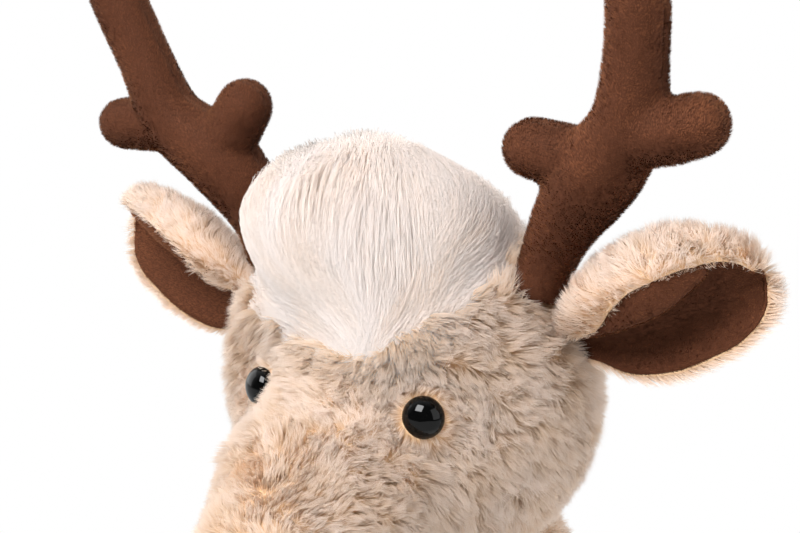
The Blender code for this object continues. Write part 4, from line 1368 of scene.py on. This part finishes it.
def dress_inside():
    """Stuffings, washers and the pellet bag keep the part's own meshes."""
    looks = {"stuffing": STUFFING, "washer": WASHER_PLASTIC, "seat_pellet_bag": BAG_CLOTH}
    for name, thing in frame["nodes"].items():
        for ending, look in looks.items():
            if name.endswith(ending):
                thing.data.materials.clear()
                thing.data.materials.append(look)


# Stage

def seen_share(material):
    """1 for rays that look at the background: the camera's, mirrored ones, and through glass."""
    ray = add(material, "ShaderNodeLightPath")
    mirrored = add(material, "ShaderNodeMath", {0: ray.outputs["Is Camera Ray"],
                                                1: ray.outputs["Is Glossy Ray"]},
                   operation="MAXIMUM")
    seen = add(material, "ShaderNodeMath", {0: mirrored.outputs[0],
                                            1: ray.outputs["Is Transmission Ray"]},
               operation="MAXIMUM")
    return seen.outputs[0]


def backdrop_material(name, fade_from, fade_to):
    """Matt white paint that keeps the deer's shadow and turns to plain white further out."""
    made = new_material(name)
    paint = add(made, "ShaderNodeBsdfPrincipled", {"Base Color": linear("F2F2F0"),
                                                   "Roughness": 0.9})
    plain = add(made, "ShaderNodeEmission", {"Color": (1, 1, 1, 1), "Strength": 1.0})
    place = add(made, "ShaderNodeTexCoord")
    apart = add(made, "ShaderNodeVectorMath", {0: place.outputs["Object"]}, operation="LENGTH")
    far = add(made, "ShaderNodeMapRange", {"Value": apart.outputs["Value"], "From Min": fade_from,
                                           "From Max": fade_to})
    seen = add(made, "ShaderNodeMath", {0: seen_share(made), 1: far.outputs[0]},
               operation="MULTIPLY")
    both = add(made, "ShaderNodeMixShader", {0: seen.outputs[0], 1: paint.outputs[0],
                                             2: plain.outputs[0]})
    return finish(made, both)


def softbox(name, azimuth, elevation, distance, size, power):
    """A square lamp that looks at the head from a bearing, 0 being the deer's front."""
    away = Vector(bearing(azimuth, elevation))
    lamp = bpy.data.lights.new(name, "AREA")
    lamp.size = size
    lamp.energy = power
    thing = put(name, lamp)
    thing.location = Vector(HEAD) + away * distance
    thing.rotation_euler = away.to_track_quat("Z", "Y").to_euler()


def make_world():
    """A white backdrop behind the deer and a dimmer room in front, which the eyes mirror."""
    world = bpy.data.worlds.new("studio")
    bpy.context.scene.world = world
    world.use_nodes = True
    world.node_tree.nodes.clear()
    way = add(world, "ShaderNodeTexCoord")
    behind = add(world, "ShaderNodeVectorMath", {0: way.outputs["Generated"], 1: BACKDROP_WAY},
                 operation="DOT_PRODUCT")
    edges = dict(zip(("From Min", "From Max"), BACKDROP_EDGES))
    room = add(world, "ShaderNodeMapRange", {"Value": behind.outputs["Value"], **edges,
                                             "To Min": ROOM_LIGHT, "To Max": BACKDROP_LIGHT})
    white = add(world, "ShaderNodeMapRange", {"Value": behind.outputs["Value"], **edges,
                                              "To Min": ROOM_MIRRORED,
                                              "To Max": BACKDROP_MIRRORED})
    ray = add(world, "ShaderNodeLightPath")
    mirrored = add(world, "ShaderNodeMath", {0: ray.outputs["Is Glossy Ray"],
                                             1: ray.outputs["Is Transmission Ray"]},
                   operation="MAXIMUM")
    light = add(world, "ShaderNodeMix", {"Factor": mirrored.outputs[0], 2: room.outputs[0],
                                         3: white.outputs[0]})
    strength = add(world, "ShaderNodeMath", {0: light.outputs[0],
                                             1: ray.outputs["Is Camera Ray"]},
                   operation="MAXIMUM")
    glow = add(world, "ShaderNodeBackground", {"Color": (1, 1, 1, 1),
                                               "Strength": strength.outputs[0]})
    add(world, "ShaderNodeOutputWorld", {"Surface": glow.outputs[0]})


def make_stage():
    corners = [(x * FLOOR_HALF, y * FLOOR_HALF, 0) for x, y in ((-1, -1), (1, -1), (1, 1), (-1, 1))]
    floor = new_piece("floor", corners, [(0, 1, 2, 3)],
                      backdrop_material("matt_white_floor", *FLOOR_FADE))
    for name, settings in softboxes.items():
        softbox(name, *settings)
    make_world()
    lens = bpy.data.cameras.new("camera")
    lens.lens = CAMERA_LENS
    lens.sensor_width = SENSOR_WIDTH
    lens.clip_start = 0.01
    away = Vector(bearing(CAMERA_AZIMUTH_DEGREES, CAMERA_ELEVATION_DEGREES))
    camera = put("camera", lens)
    camera.location = CAMERA_PLACE
    camera.rotation_euler = away.to_track_quat("Z", "Y").to_euler()
    bpy.context.scene.camera = camera
    bpy.context.scene.view_settings.view_transform = "Standard"


make_head()
for word, side in SIDES.items():
    make_eye(word, side)
    make_antler(word, side)
    make_ear(word, side)
    make_leg(f"{word}_front_leg", hinge(f"{word}_front_leg_lift"), sided(side, FRONT_LEG_LINE),
             FRONT_LEG_RADIUS, front_leg_ring_shares, front_hoof_seam_share, 100 + side)
    make_leg(f"{word}_hind_leg", hinge(f"{word}_hind_leg_splay"), sided(side, HIND_LEG_LINE),
             HIND_LEG_RADIUS, hind_leg_ring_shares, hind_hoof_seam_share, 110 + side)
make_nose()
make_body()
make_neck()
make_tail()
dress_inside()
make_stage()
